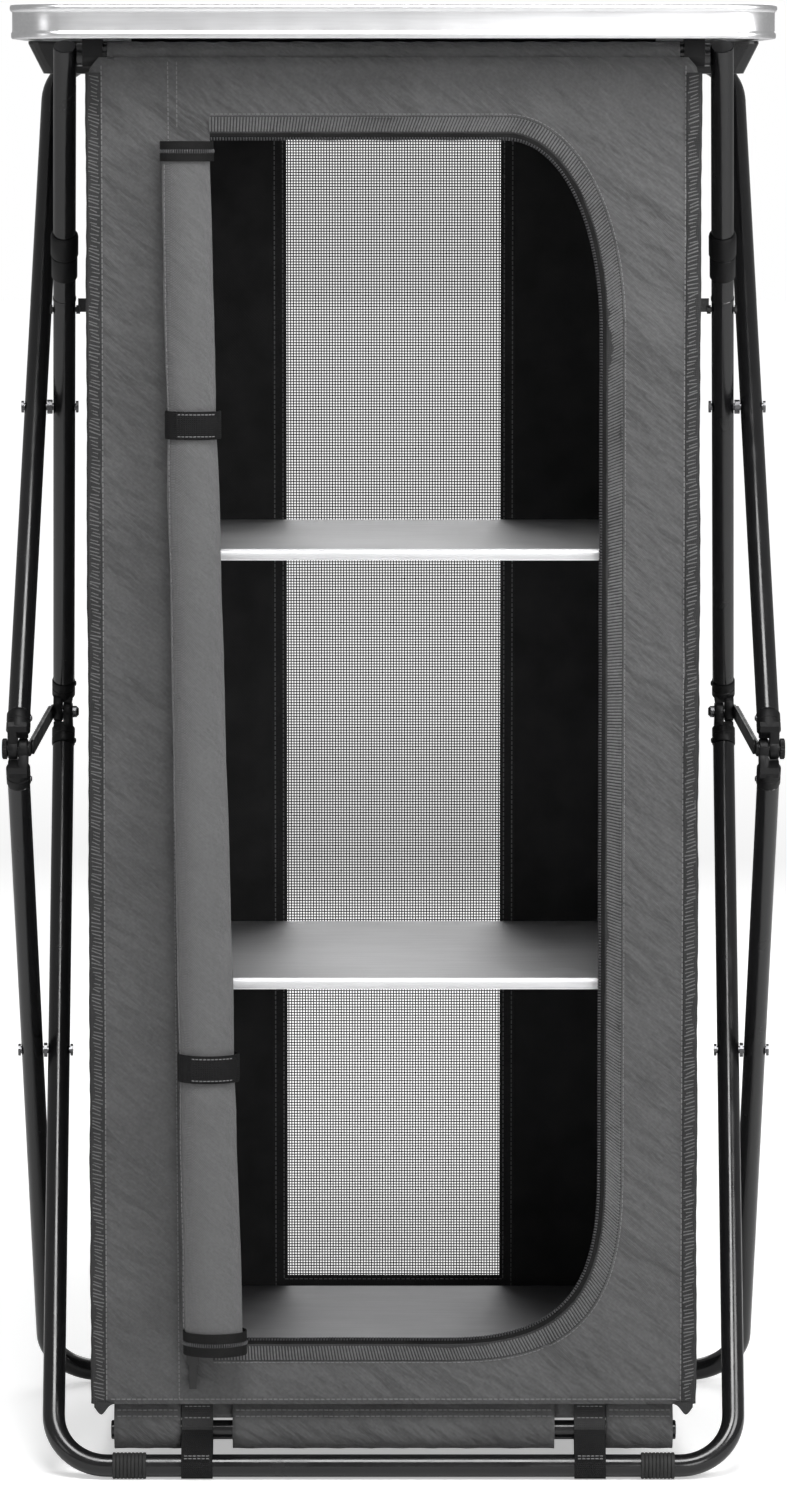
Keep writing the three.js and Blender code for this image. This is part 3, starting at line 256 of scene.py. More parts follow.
@dataclasses.dataclass(frozen=True)
class Painter:
    """Lays out the shader nodes of one finish.

    Attributes:
        tree: The material's node tree.
        place: The place on the object.
        finish: The finish.
    """

    tree: bpy.types.NodeTree
    place: bpy.types.NodeSocket
    finish: Finish

    def paint(self, shader: bpy.types.Node) -> None:
        """Feeds the shader with the finish's colour, roughness, relief and creases.

        Args:
            shader: The shader node.
        """
        finish = self.finish
        under = {}
        if finish.crease:
            under["Normal"] = self._bump(finish.crease, self._creases(), {})
        feed(shader, {
            "Metallic": finish.metallic, "Sheen Weight": finish.sheen, "Sheen Roughness": 0.5,
            "Specular IOR Level": finish.shine, "Base Color": self._colour(),
            "Roughness": self._roughness(),
            "Normal": self._bump(finish.relief, self._relief(), under),
        })

    def _bump(self, depth: float, height: bpy.types.NodeSocket,
              under: dict[str | int, object]) -> bpy.types.NodeSocket:
        """A bump of a depth in millimetres, over the one that is passed in under it."""
        inputs = {"Strength": 1.0, "Distance": depth * MM, "Height": height, **under}
        return add_node(self.tree, "Bump", inputs)["Normal"]

    def _noise(self, scale: float, detail: float, stretch: Point = (1.0, 1.0, 1.0),
               place: bpy.types.NodeSocket | None = None) -> bpy.types.NodeSocket:
        """A noise.

        Args:
            scale: How fine it is.
            detail: How many finer layers it has.
            stretch: The share of the scale along each axis.
            place: Where it is read, if not at the place on the object.

        Returns:
            The noise, from 0 to 1.
        """
        source = {"Scale": stretch, "Vector": place or self.place}
        mapped = add_node(self.tree, "Mapping", source)["Vector"]
        inputs = {"Scale": scale, "Detail": detail, "Vector": mapped}
        return add_node(self.tree, "TexNoise", inputs)["Fac"]

    def _maths(self, operation: str, *values: object) -> bpy.types.NodeSocket:
        """The result of an operation on constants and sockets."""
        return add_node(self.tree, "Math", dict(enumerate(values)), operation)["Value"]

    def _creases(self) -> bpy.types.NodeSocket:
        """Slanting fine creases over broader soft ones."""
        slant = {"Rotation": (0.0, math.radians(-38), 0.0), "Vector": self.place}
        place = add_node(self.tree, "Mapping", slant)["Vector"]
        fine = self._noise(120.0, 2.0, (0.34, 1.0, 1.0), place)
        broad = self._noise(17.0, 2.5, (0.6, 1.0, 1.0), place)
        return self._maths("MULTIPLY_ADD", broad, 4.5, fine)

    def _colour(self) -> bpy.types.NodeSocket:
        """Lets the colour vary in broad patches and in a fine grain."""
        stretch = (0.04, 1.0, 1.0) if self.finish.pattern is Pattern.BRUSHED else (1.0, 1.0, 1.0)
        patches = self._maths("MULTIPLY", self._noise(9.0, 3.0), 0.4)
        blend = self._maths("MULTIPLY_ADD", self._noise(420.0, 2.0, stretch), 0.6, patches)
        ramp = self.tree.nodes.new("ShaderNodeValToRGB")
        spread = self.finish.variation
        ends = zip(ramp.color_ramp.elements, (0.32, 0.68), (1 - spread, 1 + spread))
        for element, position, share in ends:
            element.position = position
            element.color = (*(min(1.0, c * share) for c in self.finish.colour), 1.0)
        feed(ramp, {"Fac": blend})
        return ramp.outputs["Color"]

    def _roughness(self) -> bpy.types.NodeSocket:
        """Lets the roughness vary a little."""
        spread = 0.03 if self.finish.metallic else 0.08
        return add_node(self.tree, "MapRange", {
            "Value": self._noise(38.0, 4.0), "From Min": 0.3, "From Max": 0.7,
            "To Min": max(0.05, self.finish.roughness - spread),
            "To Max": min(1.0, self.finish.roughness + spread),
        })["Result"]

    def _relief(self) -> bpy.types.NodeSocket:
        """The height of a weave, ribs, brushing, orange peel or moulded grain."""
        scale = 1 / (self.finish.pitch * MM)
        if self.finish.pattern is Pattern.BRUSHED:
            return self._noise(scale, 3.0, (0.03, 1.0, 1.0))
        if self.finish.pattern in (Pattern.PEEL, Pattern.GRAIN):
            return self._noise(scale, 1.0 if self.finish.pattern is Pattern.PEEL else 5.0)
        split = add_node(self.tree, "SeparateXYZ", {0: self.place})
        across = self._maths("ADD", split[0], split[1])
        turn = 2 * math.pi / (self.finish.pitch * MM)
        waves = [self._maths("SINE", self._maths("MULTIPLY", way, turn)) for way in (across, split[2])]
        return self._maths("MULTIPLY" if self.finish.pattern is Pattern.WEAVE else "MAXIMUM", *waves)


@functools.cache
def material(finish: Finish) -> bpy.types.Material:
    """The node material of a finish, made on first use.

    Args:
        finish: The finish.

    Returns:
        The material.
    """
    made = bpy.data.materials.new(finish.name)
    made.use_nodes = True
    tree = made.node_tree
    place = add_node(tree, "TexCoord", {})["Object"]
    Painter(tree, place, finish).paint(tree.nodes["Principled BSDF"])
    return made


def lean(z: float, places: dict[str, float]) -> float:
    """The X place of a leaning arm at a height.

    Args:
        z: The height.
        places: The X place at the base, at the knee and at the top.

    Returns:
        The X place, without a side.
    """
    if z < KNEE_Z:
        return places["base"] + (places["knee"] - places["base"]) * (z - BASE_Z) / (KNEE_Z - BASE_Z)
    return places["knee"] + (places["top"] - places["knee"]) * (z - KNEE_Z) / (TOP_Z - KNEE_Z)


def ripple(x: float, y: float, z: float, size: float, depth: float, seed: float) -> float:
    """Smooth unevenness of a cloth.

    Args:
        x: The place along X.
        y: The place along Y.
        z: The height.
        size: The width of a wrinkle.
        depth: The most that it moves the cloth.
        seed: Which pattern of wrinkles to take.

    Returns:
        The shift at that place.
    """
    broad = noise.noise(Vector((x / size, y / size, z / (1.8 * size) + seed)))
    fine = noise.noise(Vector((2.7 * x / size, 2.7 * y / size + seed, 1.9 * z / size)))
    return depth * (0.75 * broad + 0.25 * fine)


def spaced(low: float, high: float, count: int) -> list[float]:
    """Even places from low to high.

    Args:
        low: The first place.
        high: The last place.
        count: How many places there are.

    Returns:
        The places.
    """
    return [low + (high - low) * i / (count - 1) for i in range(count)]


def length(path: Sequence[Vector]) -> float:
    """The length of a path.

    Args:
        path: Its points.

    Returns:
        The length.
    """
    return sum((b - a).length for a, b in zip(path, path[1:]))


def paced(path: Sequence[Vector], pitch: float) -> Iterable[tuple[Vector, Vector]]:
    """Even steps along a path.

    Args:
        path: The points of the path.
        pitch: The length of a step.

    Yields:
        The two ends of each step.
    """
    lengths = [0.0]
    for a, b in zip(path, path[1:]):
        lengths.append(lengths[-1] + (b - a).length)
    count = max(1, round(lengths[-1] / pitch))
    places = []
    index = 0
    for step in range(count + 1):
        reach = lengths[-1] * step / count
        while index < len(path) - 2 and lengths[index + 1] < reach:
            index += 1
        span = max(1e-9, lengths[index + 1] - lengths[index])
        places.append(path[index].lerp(path[index + 1], (reach - lengths[index]) / span))
    yield from zip(places, places[1:])


def circle(radius: float, sides: int) -> list[Pair]:
    """The points of a circle.

    Args:
        radius: Its radius.
        sides: How many points it has.

    Returns:
        The points.
    """
    return [(radius * math.cos(2 * math.pi * i / sides), radius * math.sin(2 * math.pi * i / sides))
            for i in range(sides)]


def bent(corners: Sequence[Vector], radius: float, steps: int = 14) -> list[Vector]:
    """A path through corners with a round bend at each inner one.

    Args:
        corners: The corner points.
        radius: The bend's radius.
        steps: How many steps a bend has.

    Returns:
        The points of the path.
    """
    path = [corners[0].copy()]
    for before, corner, after in zip(corners, corners[1:], corners[2:]):
        arriving = (corner - before).normalized()
        leaving = (after - corner).normalized()
        turn = arriving.angle(leaving)
        start = corner - arriving * radius * math.tan(turn / 2)
        inward = (leaving - arriving).normalized()
        centre = corner + inward * radius / math.cos(turn / 2)
        axis = arriving.cross(leaving).normalized()
        for step in range(steps + 1):
            spin = Matrix.Rotation(turn * step / steps, 3, axis)
            path.append(centre + spin @ (start - centre))
    path.append(corners[-1].copy())
    return path


def loft(loops: Sequence[Sequence[Point]], ringed: bool = False, capped: bool = True,
         closed: bool = True) -> Shape:
    """The shape through loops of points.

    Args:
        loops: The loops, all of the same length.
        ringed: Whether the last loop joins the first one.
        capped: Whether the two ends are closed.
        closed: Whether each loop joins its own ends.

    Returns:
        The points and the faces.
    """
    count = len(loops[0])
    points = [p for loop in loops for p in loop]
    faces: list[list[int]] = []
    for row in range(len(loops) if ringed else len(loops) - 1):
        low = row * count
        high = (row + 1) % len(loops) * count
        for index in range(count if closed else count - 1):
            after = (index + 1) % count
            faces.append([low + index, low + after, high + after, high + index])
    if capped and not ringed:
        faces.append(list(range(count))[::-1])
        faces.append([len(points) - count + i for i in range(count)])
    return points, faces


def skin(loops: Sequence[Sequence[Point]]) -> Shape:
    """An open surface through open lines of points.

    Args:
        loops: The lines, all of the same length.

    Returns:
        The points and the faces.
    """
    return loft(loops, capped=False, closed=False)


def grid(across: Sequence[float], up: Sequence[float], place: Callable[[float, float], Point]) -> Shape:
    """An open surface over two lists of places.

    Args:
        across: The places one way.
        up: The places the other way.
        place: Gives the point for a pair of places.

    Returns:
        The points and the faces.
    """
    return skin([[place(a, b) for a in across] for b in up])


def joined(shapes: Iterable[Shape]) -> Shape:
    """Several shapes as one.

    Args:
        shapes: The shapes.

    Returns:
        The points and the faces of them all.
    """
    points: list[Point] = []
    faces: list[list[int]] = []
    for more, more_faces in shapes:
        start = len(points)
        points += more
        faces += [[start + i for i in face] for face in more_faces]
    return points, faces


def make_object(name: str, shape: Shape, finish: Finish, body: str | None = None) -> bpy.types.Object:
    """Makes a mesh object, shaded smooth with its sharp edges kept.

    Args:
        name: The object's name.
        shape: Its points in millimetres, and its faces.
        finish: Its finish.
        body: The CAD body it rides on, if it is rigid.

    Returns:
        The new object.
    """
    points, faces = shape
    mesh = bpy.data.meshes.new(name)
    mesh.from_pydata([tuple(c * MM for c in p) for p in points], [], [tuple(f) for f in faces])
    work = bmesh.new()
    work.from_mesh(mesh)
    bmesh.ops.recalc_face_normals(work, faces=work.faces)
    for face in work.faces:
        face.smooth = True
    for edge in work.edges:
        if len(edge.link_faces) == 2 and edge.calc_face_angle(0.0) > SHARP_ANGLE:
            edge.smooth = False
    work.to_mesh(mesh)
    work.free()
    mesh.materials.append(material(finish))
    piece = bpy.data.objects.new(name, mesh)
    bpy.context.scene.collection.objects.link(piece)
    if body:
        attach(piece, body)
    return piece


def sheet_object(name: str, shape: Shape, finish: Finish, thickness: float = CLOTH_THICK,
                 inward: Callable[[Vector], Vector] | None = None) -> bpy.types.Object:
    """A cloth of even thickness on both sides of a surface.

    Args:
        name: The object's name.
        shape: The surface.
        finish: Its finish.
        thickness: How thick the cloth is.
        inward: Gives the inward direction, if the inside gets the dark coating that also paints shade.

    Returns:
        The cloth.
    """
    piece = make_object(name, shape, finish)
    work = bmesh.new()
    work.from_mesh(piece.data)
    bmesh.ops.remove_doubles(work, verts=work.verts[:], dist=0.01 * MM)
    bmesh.ops.recalc_face_normals(work, faces=work.faces)
    bmesh.ops.solidify(work, geom=work.faces[:], thickness=thickness * MM)
    bmesh.ops.recalc_face_normals(work, faces=work.faces)
    work.to_mesh(piece.data)
    work.free()
    if inward:
        # The inside faces get the dark coating, which is also painted shade.
        piece.data.materials.append(material(COATING_AND_SHADE))
        for face in piece.data.polygons:
            if face.normal.dot(inward(face.center)) > 0.3:
                face.material_index = 1
    return piece


def tube(name: str, path: Sequence[Vector], radius: float, body: str) -> bpy.types.Object:
    """A round steel tube along a path, with a small chamfer at its ends.

    Args:
        name: The object's name.
        path: The tube's centreline.
        radius: Its radius.
        body: The CAD body it rides on.

    Returns:
        The tube.
    """
    edge = 0.6
    first = (path[1] - path[0]).normalized() * edge
    final = (path[-2] - path[-1]).normalized() * edge
    full = [path[0], path[0] + first, *path[1:-1], path[-1] + final, path[-1]]
    last = len(full) - 1
    second = Vector((0.0, 0.3, 0.7)).normalized()
    loops = []
    for index, point in enumerate(full):
        tangent = (full[min(last, index + 1)] - full[max(0, index - 1)]).normalized()
        second = (second - tangent * second.dot(tangent)).normalized()
        across = second.cross(tangent)
        size = radius - (edge if index in (0, last) else 0.0)
        loops.append([tuple(point + across * a + second * b) for a, b in circle(size, 32)])
    return make_object(name, loft(loops), POWDER, body)


def turned(name: str, profile: Sequence[Pair], start: Vector, axis: Vector, finish: Finish,
           body: str, sides: int = 32, bored: bool = False) -> bpy.types.Object:
    """A turned piece about an axis.

    Args:
        name: The object's name.
        profile: Radius and place along the axis, from one end to the other.
        start: Where the axis starts.
        axis: The axis's direction.
        finish: The finish.
        body: The CAD body it rides on.
        sides: How many sides it has.
        bored: Whether the profile runs round a bore and closes on itself.

    Returns:
        The piece.
    """
    axis = axis.normalized()
    first = axis.orthogonal().normalized()
    second = axis.cross(first)
    loops = [[tuple(start + axis * along + first * a + second * b) for a, b in circle(radius, sides)]
             for radius, along in profile]
    return make_object(name, loft(loops, ringed=bored), finish, body)


@dataclasses.dataclass
class Strip:
    """Many small bars or bands gathered in one mesh.

    Attributes:
        shapes: The closed bodies so far.
    """

    shapes: list[Shape] = dataclasses.field(default_factory=list)

    def add(self, loops: Sequence[Sequence[Point]]) -> None:
        """Adds one closed body through loops.

        Args:
            loops: Its loops.
        """
        self.shapes.append(loft(loops))

    def bar(self, start: Vector, end: Vector, normal: Vector, width: float, height: float) -> None:
        """Adds a small bar with a domed top between two points.

        Args:
            start: One end.
            end: The other end.
            normal: The direction that its top faces.
            width: Its width.
            height: Its height at the middle.
        """
        across = (end - start).normalized().cross(normal).normalized() * width / 2
        lift = normal.normalized() * height
        ring = []
        for place, share in ((start, 0.35), ((start + end) / 2, 1.0), (end, 0.35)):
            ring.append([tuple(place - across), tuple(place - across * 0.5 + lift * share),
                         tuple(place + across * 0.5 + lift * share), tuple(place + across)])
        self.add(ring)

    def bars(self, path: Sequence[Vector], normal: Vector, pitch: float, gap: float,
             width: float, height: float) -> None:
        """Adds a row of bars along a path.

        Args:
            path: The line of the row.
            normal: The direction that the bars face.
            pitch: The length from one bar to the next.
            gap: The share of the pitch that is free at each end of a bar.
            width: The width of a bar.
            height: How far a bar stands off the path.
        """
        for start, end in paced(path, pitch):
            free = (end - start) * gap
            self.bar(start + free, end - free, normal, width, height)

    def stitches(self, path: Sequence[Vector], normal: Vector, pitch: float = 4.2,
                 width: float = 1.0, height: float = 0.55) -> None:
        """Adds a row of stitches along a path.

        Args:
            path: The line of the seam.
            normal: The direction that the cloth faces.
            pitch: The length from one stitch to the next.
            width: The width of the thread.
            height: How far a stitch stands off the cloth.
        """
        self.bars(path, normal, pitch, 0.14, width, height)

    def build(self, name: str, finish: Finish, body: str | None = None) -> bpy.types.Object:
        """Makes the object.

        Args:
            name: Its name.
            finish: Its finish.
            body: The CAD body it rides on, if it is rigid.

        Returns:
            The object.
        """
        return make_object(name, joined(self.shapes), finish, body)


def fold_with_box(node: str, *pieces: bpy.types.Object) -> None:
    """Attaches cloth pieces of the box to the cabinet body, each with a mesh of its own.

    Args:
        node: The CAD node that the first piece replaces.
        pieces: The pieces.
    """
    for piece in pieces:
        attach(piece, "cabinet")
        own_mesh(piece)
    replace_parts(pieces[0], node)


@dataclasses.dataclass
class Frame:
    """The steel frame: bent tubes, arms, rails and rods.

    Attributes:
        rod: The radius of the rod in the hem.
        seam: The height of the seams in the upper front arms.
    """

    rod: float = 7.7
    seam: float = 936.0

    def build(self) -> None:
        """Makes the tubes in place of the coarse ones of the CAD model."""
        self._bent("base_front_tube", "front_base", INNER_X, (-BASE_HALF, BASE_Z), LOWER_PIN_Z, "base")
        self._bent("base_rear_tube", "rear_base", OUTER_X, (BASE_HALF, BASE_Z), LOWER_PIN_Z, "base")
        self._bent("top_rear_tube", "rear_upper", OUTER_X, (TOP_HALF, TOP_Z), UPPER_PIN_Z, "top")
        for side, name in SIDES:
            self._arm(side, name)
        reach = INNER_X["top"] - TUBE - 0.3
        self._straight("top_front_rail", "front_upper", reach, (-TOP_HALF, TOP_Z), TUBE)
        self._straight("hem_rod", "cabinet", 226.0, (HEM_ROD_Y, HEM_ROD_Z), self.rod)

    def _bent(self, node: str, body: str, places: dict[str, float], rail: Pair, pin_z: float,
              level: str) -> None:
        """A U-shaped tube whose arms cross the middle at the pin's height.

        Args:
            node: The CAD node that it replaces.
            body: The CAD body it rides on.
            places: The X places of its arms.
            rail: The Y place and the height of its rail.
            pin_z: The height of the pin in its arms.
            level: Whether its rail is at the base or at the top.
        """
        rail_y, rail_z = rail
        rise = math.copysign(ARM_SIN, pin_z - rail_z)
        run = -math.copysign(ARM_COS, rail_y)
        end_z = pin_z + COLLAR_REACH * rise
        end_x = lean(end_z, places)
        corners = [
            Vector((-end_x, COLLAR_REACH * run, end_z)),
            Vector((-places[level], rail_y, rail_z)),
            Vector((places[level], rail_y, rail_z)),
            Vector((end_x, COLLAR_REACH * run, end_z)),
        ]
        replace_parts(tube(f"{node}_tube", bent(corners, BEND), TUBE, body), node)

    def _arm(self, side: int, name: str) -> None:
        """An upper front arm, with the seam where its two lengths meet.

        Args:
            side: -1 on the left and 1 on the right.
            name: The side's name.
        """
        low_z = UPPER_PIN_Z - COLLAR_REACH * ARM_SIN
        low = Vector((side * lean(low_z, INNER_X), COLLAR_REACH * ARM_COS, low_z))
        high = Vector((side * INNER_X["top"], -TOP_HALF, TOP_Z))
        along = (high - low).normalized()
        piece = tube(f"arm_{name}", [low, high + along * 8], TUBE, "front_upper")
        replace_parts(piece, f"front_arm_{name}")
        seam = low.lerp(high, (self.seam - low.z) / (high.z - low.z))
        profile = [(9.05, 0.0), (9.45, 0.5), (9.45, 2.4), (9.05, 2.9)]
        turned(f"arm_seam_{name}", profile, seam, along, POWDER, "front_upper")

    def _straight(self, node: str, body: str, reach: float, place: Pair, radius: float) -> None:
        """A straight tube along X.

        Args:
            node: The CAD node that it replaces.
            body: The CAD body it rides on.
            reach: Half its length.
            place: Its Y place and its height.
            radius: Its radius.
        """
        path = [Vector((-reach, *place)), Vector((reach, *place))]
        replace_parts(tube(f"{node}_tube", path, radius, body), node)


@dataclasses.dataclass
class Feet:
    """The ribbed rubber sleeves that the cabinet stands on.

    Attributes:
        place: The X place of a sleeve's middle.
        length: Its length.
        ribs: How many ribs it has.
    """

    place: float = 211.0
    length: float = 27.0
    ribs: int = 9

    def build(self) -> None:
        """Makes the four sleeves."""
        for row, y in (("front", -BASE_HALF), ("rear", BASE_HALF)):
            for side, name in SIDES:
                start = Vector((side * self.place - self.length / 2, y, BASE_Z))
                piece = turned(f"foot_sleeve_{row}_{name}", self._profile(), start,
                               Vector((1, 0, 0)), RUBBER, f"{row}_base", 40, bored=True)
                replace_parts(piece, f"foot_{row}_{name}")

    def _profile(self) -> list[Pair]:
        """The bore and the rounded ribs."""
        pitch = self.length / self.ribs
        profile = [(9.1, 0.0)]
        for rib in range(self.ribs):
            start = rib * pitch
            profile += [(9.8, start + 0.05), (10.5, start + 0.45), (10.62, start + 0.5 * pitch),
                        (10.5, start + pitch - 0.45), (9.8, start + pitch - 0.05)]
        return [*profile, (9.1, self.length)]


@dataclasses.dataclass(frozen=True)
class Seat:
    """Where one half of a knee sits.

    Attributes:
        pivot: The knee's pivot.
        along: The direction along the arm.
        out: The direction from the pivot to the tube.
        node: The CAD node of the half.
        body: The CAD body that it rides on.
    """

    pivot: Vector
    along: Vector
    out: Vector
    node: str
    body: str


@dataclasses.dataclass
class Knees:
    """The moulded knee hinges: lapped ears, shoulders, collars with rivets, and knobs.

    Attributes:
        ear: The radius of an ear's round end.
        collar: The radius of a collar.
        half: Half the width of a knee.
        lap: Half the gap between two lapped ears.
        teeth: How many teeth a knob's edge has.
    """

    ear: float = 8.5
    collar: float = 9.7
    half: float = 8.0
    lap: float = 0.3
    teeth: int = 24

    def build(self) -> None:
        """Makes the eight halves, the rivets in their collars and the round knobs."""
        for side, name in SIDES:
            for front in (False, True):
                for upper in (False, True):
                    self._half(side, name, front, upper)
            self._knob(side, name)

    def _half(self, side: int, name: str, front: bool, upper: bool) -> None:
        """One half: an ear with a rounded edge, a shoulder and a collar that meets the tube.

        Args:
            side: -1 on the left and 1 on the right.
            name: The side's name.
            front: Whether it is at the front, where the tubes of the rear rails end.
            upper: Whether it is the upper half.
        """
        places = OUTER_X if front else INNER_X
        along = Vector((0, ARM_COS if front else -ARM_COS, ARM_SIN if upper else -ARM_SIN))
        out = Vector((0, -ARM_SIN if front else ARM_SIN, ARM_COS if upper else -ARM_COS))
        pivot = Vector((side * places["knee"], -KNEE_HALF if front else KNEE_HALF, KNEE_Z))
        node = f"knee_{'front' if front else 'rear'}_{'upper' if upper else 'lower'}_{name}"
        body = f"{'rear' if front else 'front'}_{'upper' if upper else 'base'}"
        seat = Seat(pivot, along, out, node, body)
        near, far = (self.lap, self.half) if upper else (-self.half, -self.lap)
        edge = 1 - 1.0 / 11
        steps = [(side * near, edge), (side * (near + 1.0), 1.0), (side * (far - 1.0), 1.0),
                 (side * far, edge)]
        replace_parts(self._slab("ear", seat, self._ear_outline(), (4.0, 3.0), steps), node)
        shoulder = [(9.0, 0.8), (13.4, 3.0), (13.4, 20.2), (9.2, 20.4), (6.0, 17.0), (5.4, 8.2),
                    (8.2, 4.0)]
        steps = [(-self.half, 0.9), (-7.4, 1.0), (7.4, 1.0), (self.half, 0.9)]
        self._slab("shoulder", seat, shoulder, (10.5, 8.0), steps)
        slope = (places["top" if upper else "base"] - places["knee"])
        height = (TOP_Z - KNEE_Z) if upper else (KNEE_Z - BASE_Z)
        axis = (along + Vector((side * slope / height * ARM_SIN, 0, 0))).normalized()
        start = pivot + out * 11.0
        profile = [
            (0.05, 9.5), (8.6, 9.5), (self.collar, 10.6), (self.collar, 17.2), (9.2, 17.7),
            (9.2, 18.6), (self.collar, 19.1), (self.collar, 25.0), (9.3, 25.9), (0.05, 25.9),
        ]
        turned(f"{node}_collar", profile, start, axis, HINGE, body)
        rivet = [(0.05, 10.9), (1.6, 10.7), (2.3, 10.1), (2.5, 8.9)]
        turned(f"{node}_rivet", rivet, start + axis * 21.8, Vector((-side, 0, 0)), RIVET, body, 20)

    def _ear_outline(self) -> list[Pair]:
        """The ear's outline in its own plane, along the arm and outwards."""
        angles = [math.pi / 2 + math.pi * step / 18 for step in range(19)]
        points = [(self.ear * math.cos(angle), self.ear * math.sin(angle)) for angle in angles]
        return [*points, (9.0, -4.0), (13.0, 1.4), (13.2, 9.0), (13.0, 19.4), (9.0, 19.6), (3.0, 14.0)]

    def _slab(self, word: str, seat: Seat, outline: Sequence[Pair], middle: Pair,
              steps: Sequence[Pair]) -> bpy.types.Object:
        """A slab across the knee with chamfered edges.

        Args:
            word: What it is.
            seat: Where the half sits.
            outline: Its outline, along the arm and outwards.
            middle: The point that the outline shrinks to.
            steps: X places from one face to the other, and the outline's share at each.

        Returns:
            The slab.
        """
        loops = []
        for x, share in steps:
            place = seat.pivot + Vector((x, 0, 0))
            loops.append([tuple(place + seat.along * (middle[0] + (u - middle[0]) * share)
                                + seat.out * (middle[1] + (n - middle[1]) * share))
                          for u, n in outline])
        return make_object(f"{seat.node}_{word}", loft(loops), HINGE, seat.body)

    def _knob(self, side: int, name: str) -> None:
        """The hand knob outside a front knee, with a knurled edge.

        Args:
            side: -1 on the left and 1 on the right.
            name: The side's name.
        """
        start = Vector((side * (OUTER_X["knee"] + 8.3), -KNEE_HALF, KNEE_Z))
        loops = []
        for radius, along in ((7.0, 0.2), (8.4, 0.7), (8.4, 3.6), (7.2, 4.4), (3.4, 4.4), (3.0, 3.9)):
            loop = []
            for index in range(self.teeth * 2):
                angle = math.pi * index / self.teeth
                reach = radius - (0.45 if index % 2 and radius > 8 else 0.0)
                loop.append(tuple(start + Vector((side * along, reach * math.cos(angle),
                                                  reach * math.sin(angle)))))
            loops.append(loop)
        knob = make_object(f"knob_{name}", loft(loops), HINGE, f"{name}_knob")
        bolt = [(0.05, -16.4), (4.6, -16.4), (4.6, -14.6), (2.9, -14.4), (2.9, 0.4), (0.05, 0.4)]
        turned(f"knob_bolt_{name}", bolt, start, Vector((side, 0, 0)), RIVET, f"{name}_knob", 24)
        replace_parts(knob, f"hinge_knob_{name}")


@dataclasses.dataclass
class Locks:
    """The lock sleeves on the upper front arms.

    Attributes:
        low: The height of a sleeve's lower end.
        length: Its length.
    """

    low: float = 955.0
    length: float = 42.0

    def build(self) -> None:
        """Makes a sleeve at each side."""
        ring, end = 0.5 * self.length, self.length
        profile = [
            (9.15, 0.2), (10.0, 0.2), (10.4, 0.9), (10.4, ring - 1.2), (9.9, ring - 0.7),
            (9.9, ring), (10.6, ring + 0.5), (11.1, ring + 1.4), (11.1, end - 3.0),
            (10.8, end - 1.3), (10.0, end - 0.2), (9.15, end - 0.2),
        ]
        for side, name in SIDES:
            low = Vector((side * lean(UPPER_PIN_Z, INNER_X), 0, UPPER_PIN_Z))
            high = Vector((side * INNER_X["top"], -TOP_HALF, TOP_Z))
            start = low.lerp(high, (self.low - low.z) / (high.z - low.z))
            sleeve = turned(f"lock_{name}", profile, start, (high - low).normalized(), HINGE,
                            f"{name}_lock", 40, bored=True)
            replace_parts(sleeve, f"lock_sleeve_{name}")


@dataclasses.dataclass
class TableTop:
    """The table top: a brushed panel in a profiled rim.

    Attributes:
        half_x: Half its width.
        half_y: Half its depth.
        corner: The radius of its corners.
        top: The height of its rim.
    """

    half_x: float = 300.0
    half_y: float = 250.0
    corner: float = 42.0
    top: float = 1171.0

    def build(self) -> None:
        """Makes the rim and the panel."""
        rim = [
            (13.0, -10.0), (13.0, -1.0), (12.4, -0.35), (11.4, 0.0), (3.0, 0.0), (1.6, -0.25),
            (0.6, -0.9), (0.1, -1.9), (0.0, -3.2), (0.15, -4.4), (0.9, -5.6), (1.7, -6.2),
            (1.9, -7.2), (1.9, -20.4), (1.7, -21.6), (1.15, -22.2), (1.0, -23.1), (1.0, -25.4),
            (1.4, -26.5), (2.3, -27.0), (13.0, -27.0),
        ]
        panel = [(15.5, -10.0), (13.4, -9.6), (13.35, -2.2), (13.9, -1.3), (15.0, -0.85)]
        for name, profile, finish, ringed in (("rim", rim, RIM, True), ("panel", panel, TABLE, False)):
            loops = [self._loop(inset, self.top + drop) for inset, drop in profile]
            piece = make_object(name, loft(loops, ringed), finish, "table")
            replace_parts(piece, f"table_{name}")

    def _loop(self, inset: float, z: float) -> list[Point]:
        """A rounded rectangle.

        Args:
            inset: How far in from the table's edge it runs.
            z: Its height.

        Returns:
            Its points.
        """
        radius = max(2.0, self.corner - inset)
        loop = []
        steps = 14
        for quarter, (sx, sy) in enumerate(((1, 1), (-1, 1), (-1, -1), (1, -1))):
            for step in range(steps + 1):
                angle = (quarter + step / steps) * math.pi / 2
                loop.append((sx * (self.half_x - inset - radius) + radius * math.cos(angle),
                             sy * (self.half_y - inset - radius) + radius * math.sin(angle), z))
        return loop


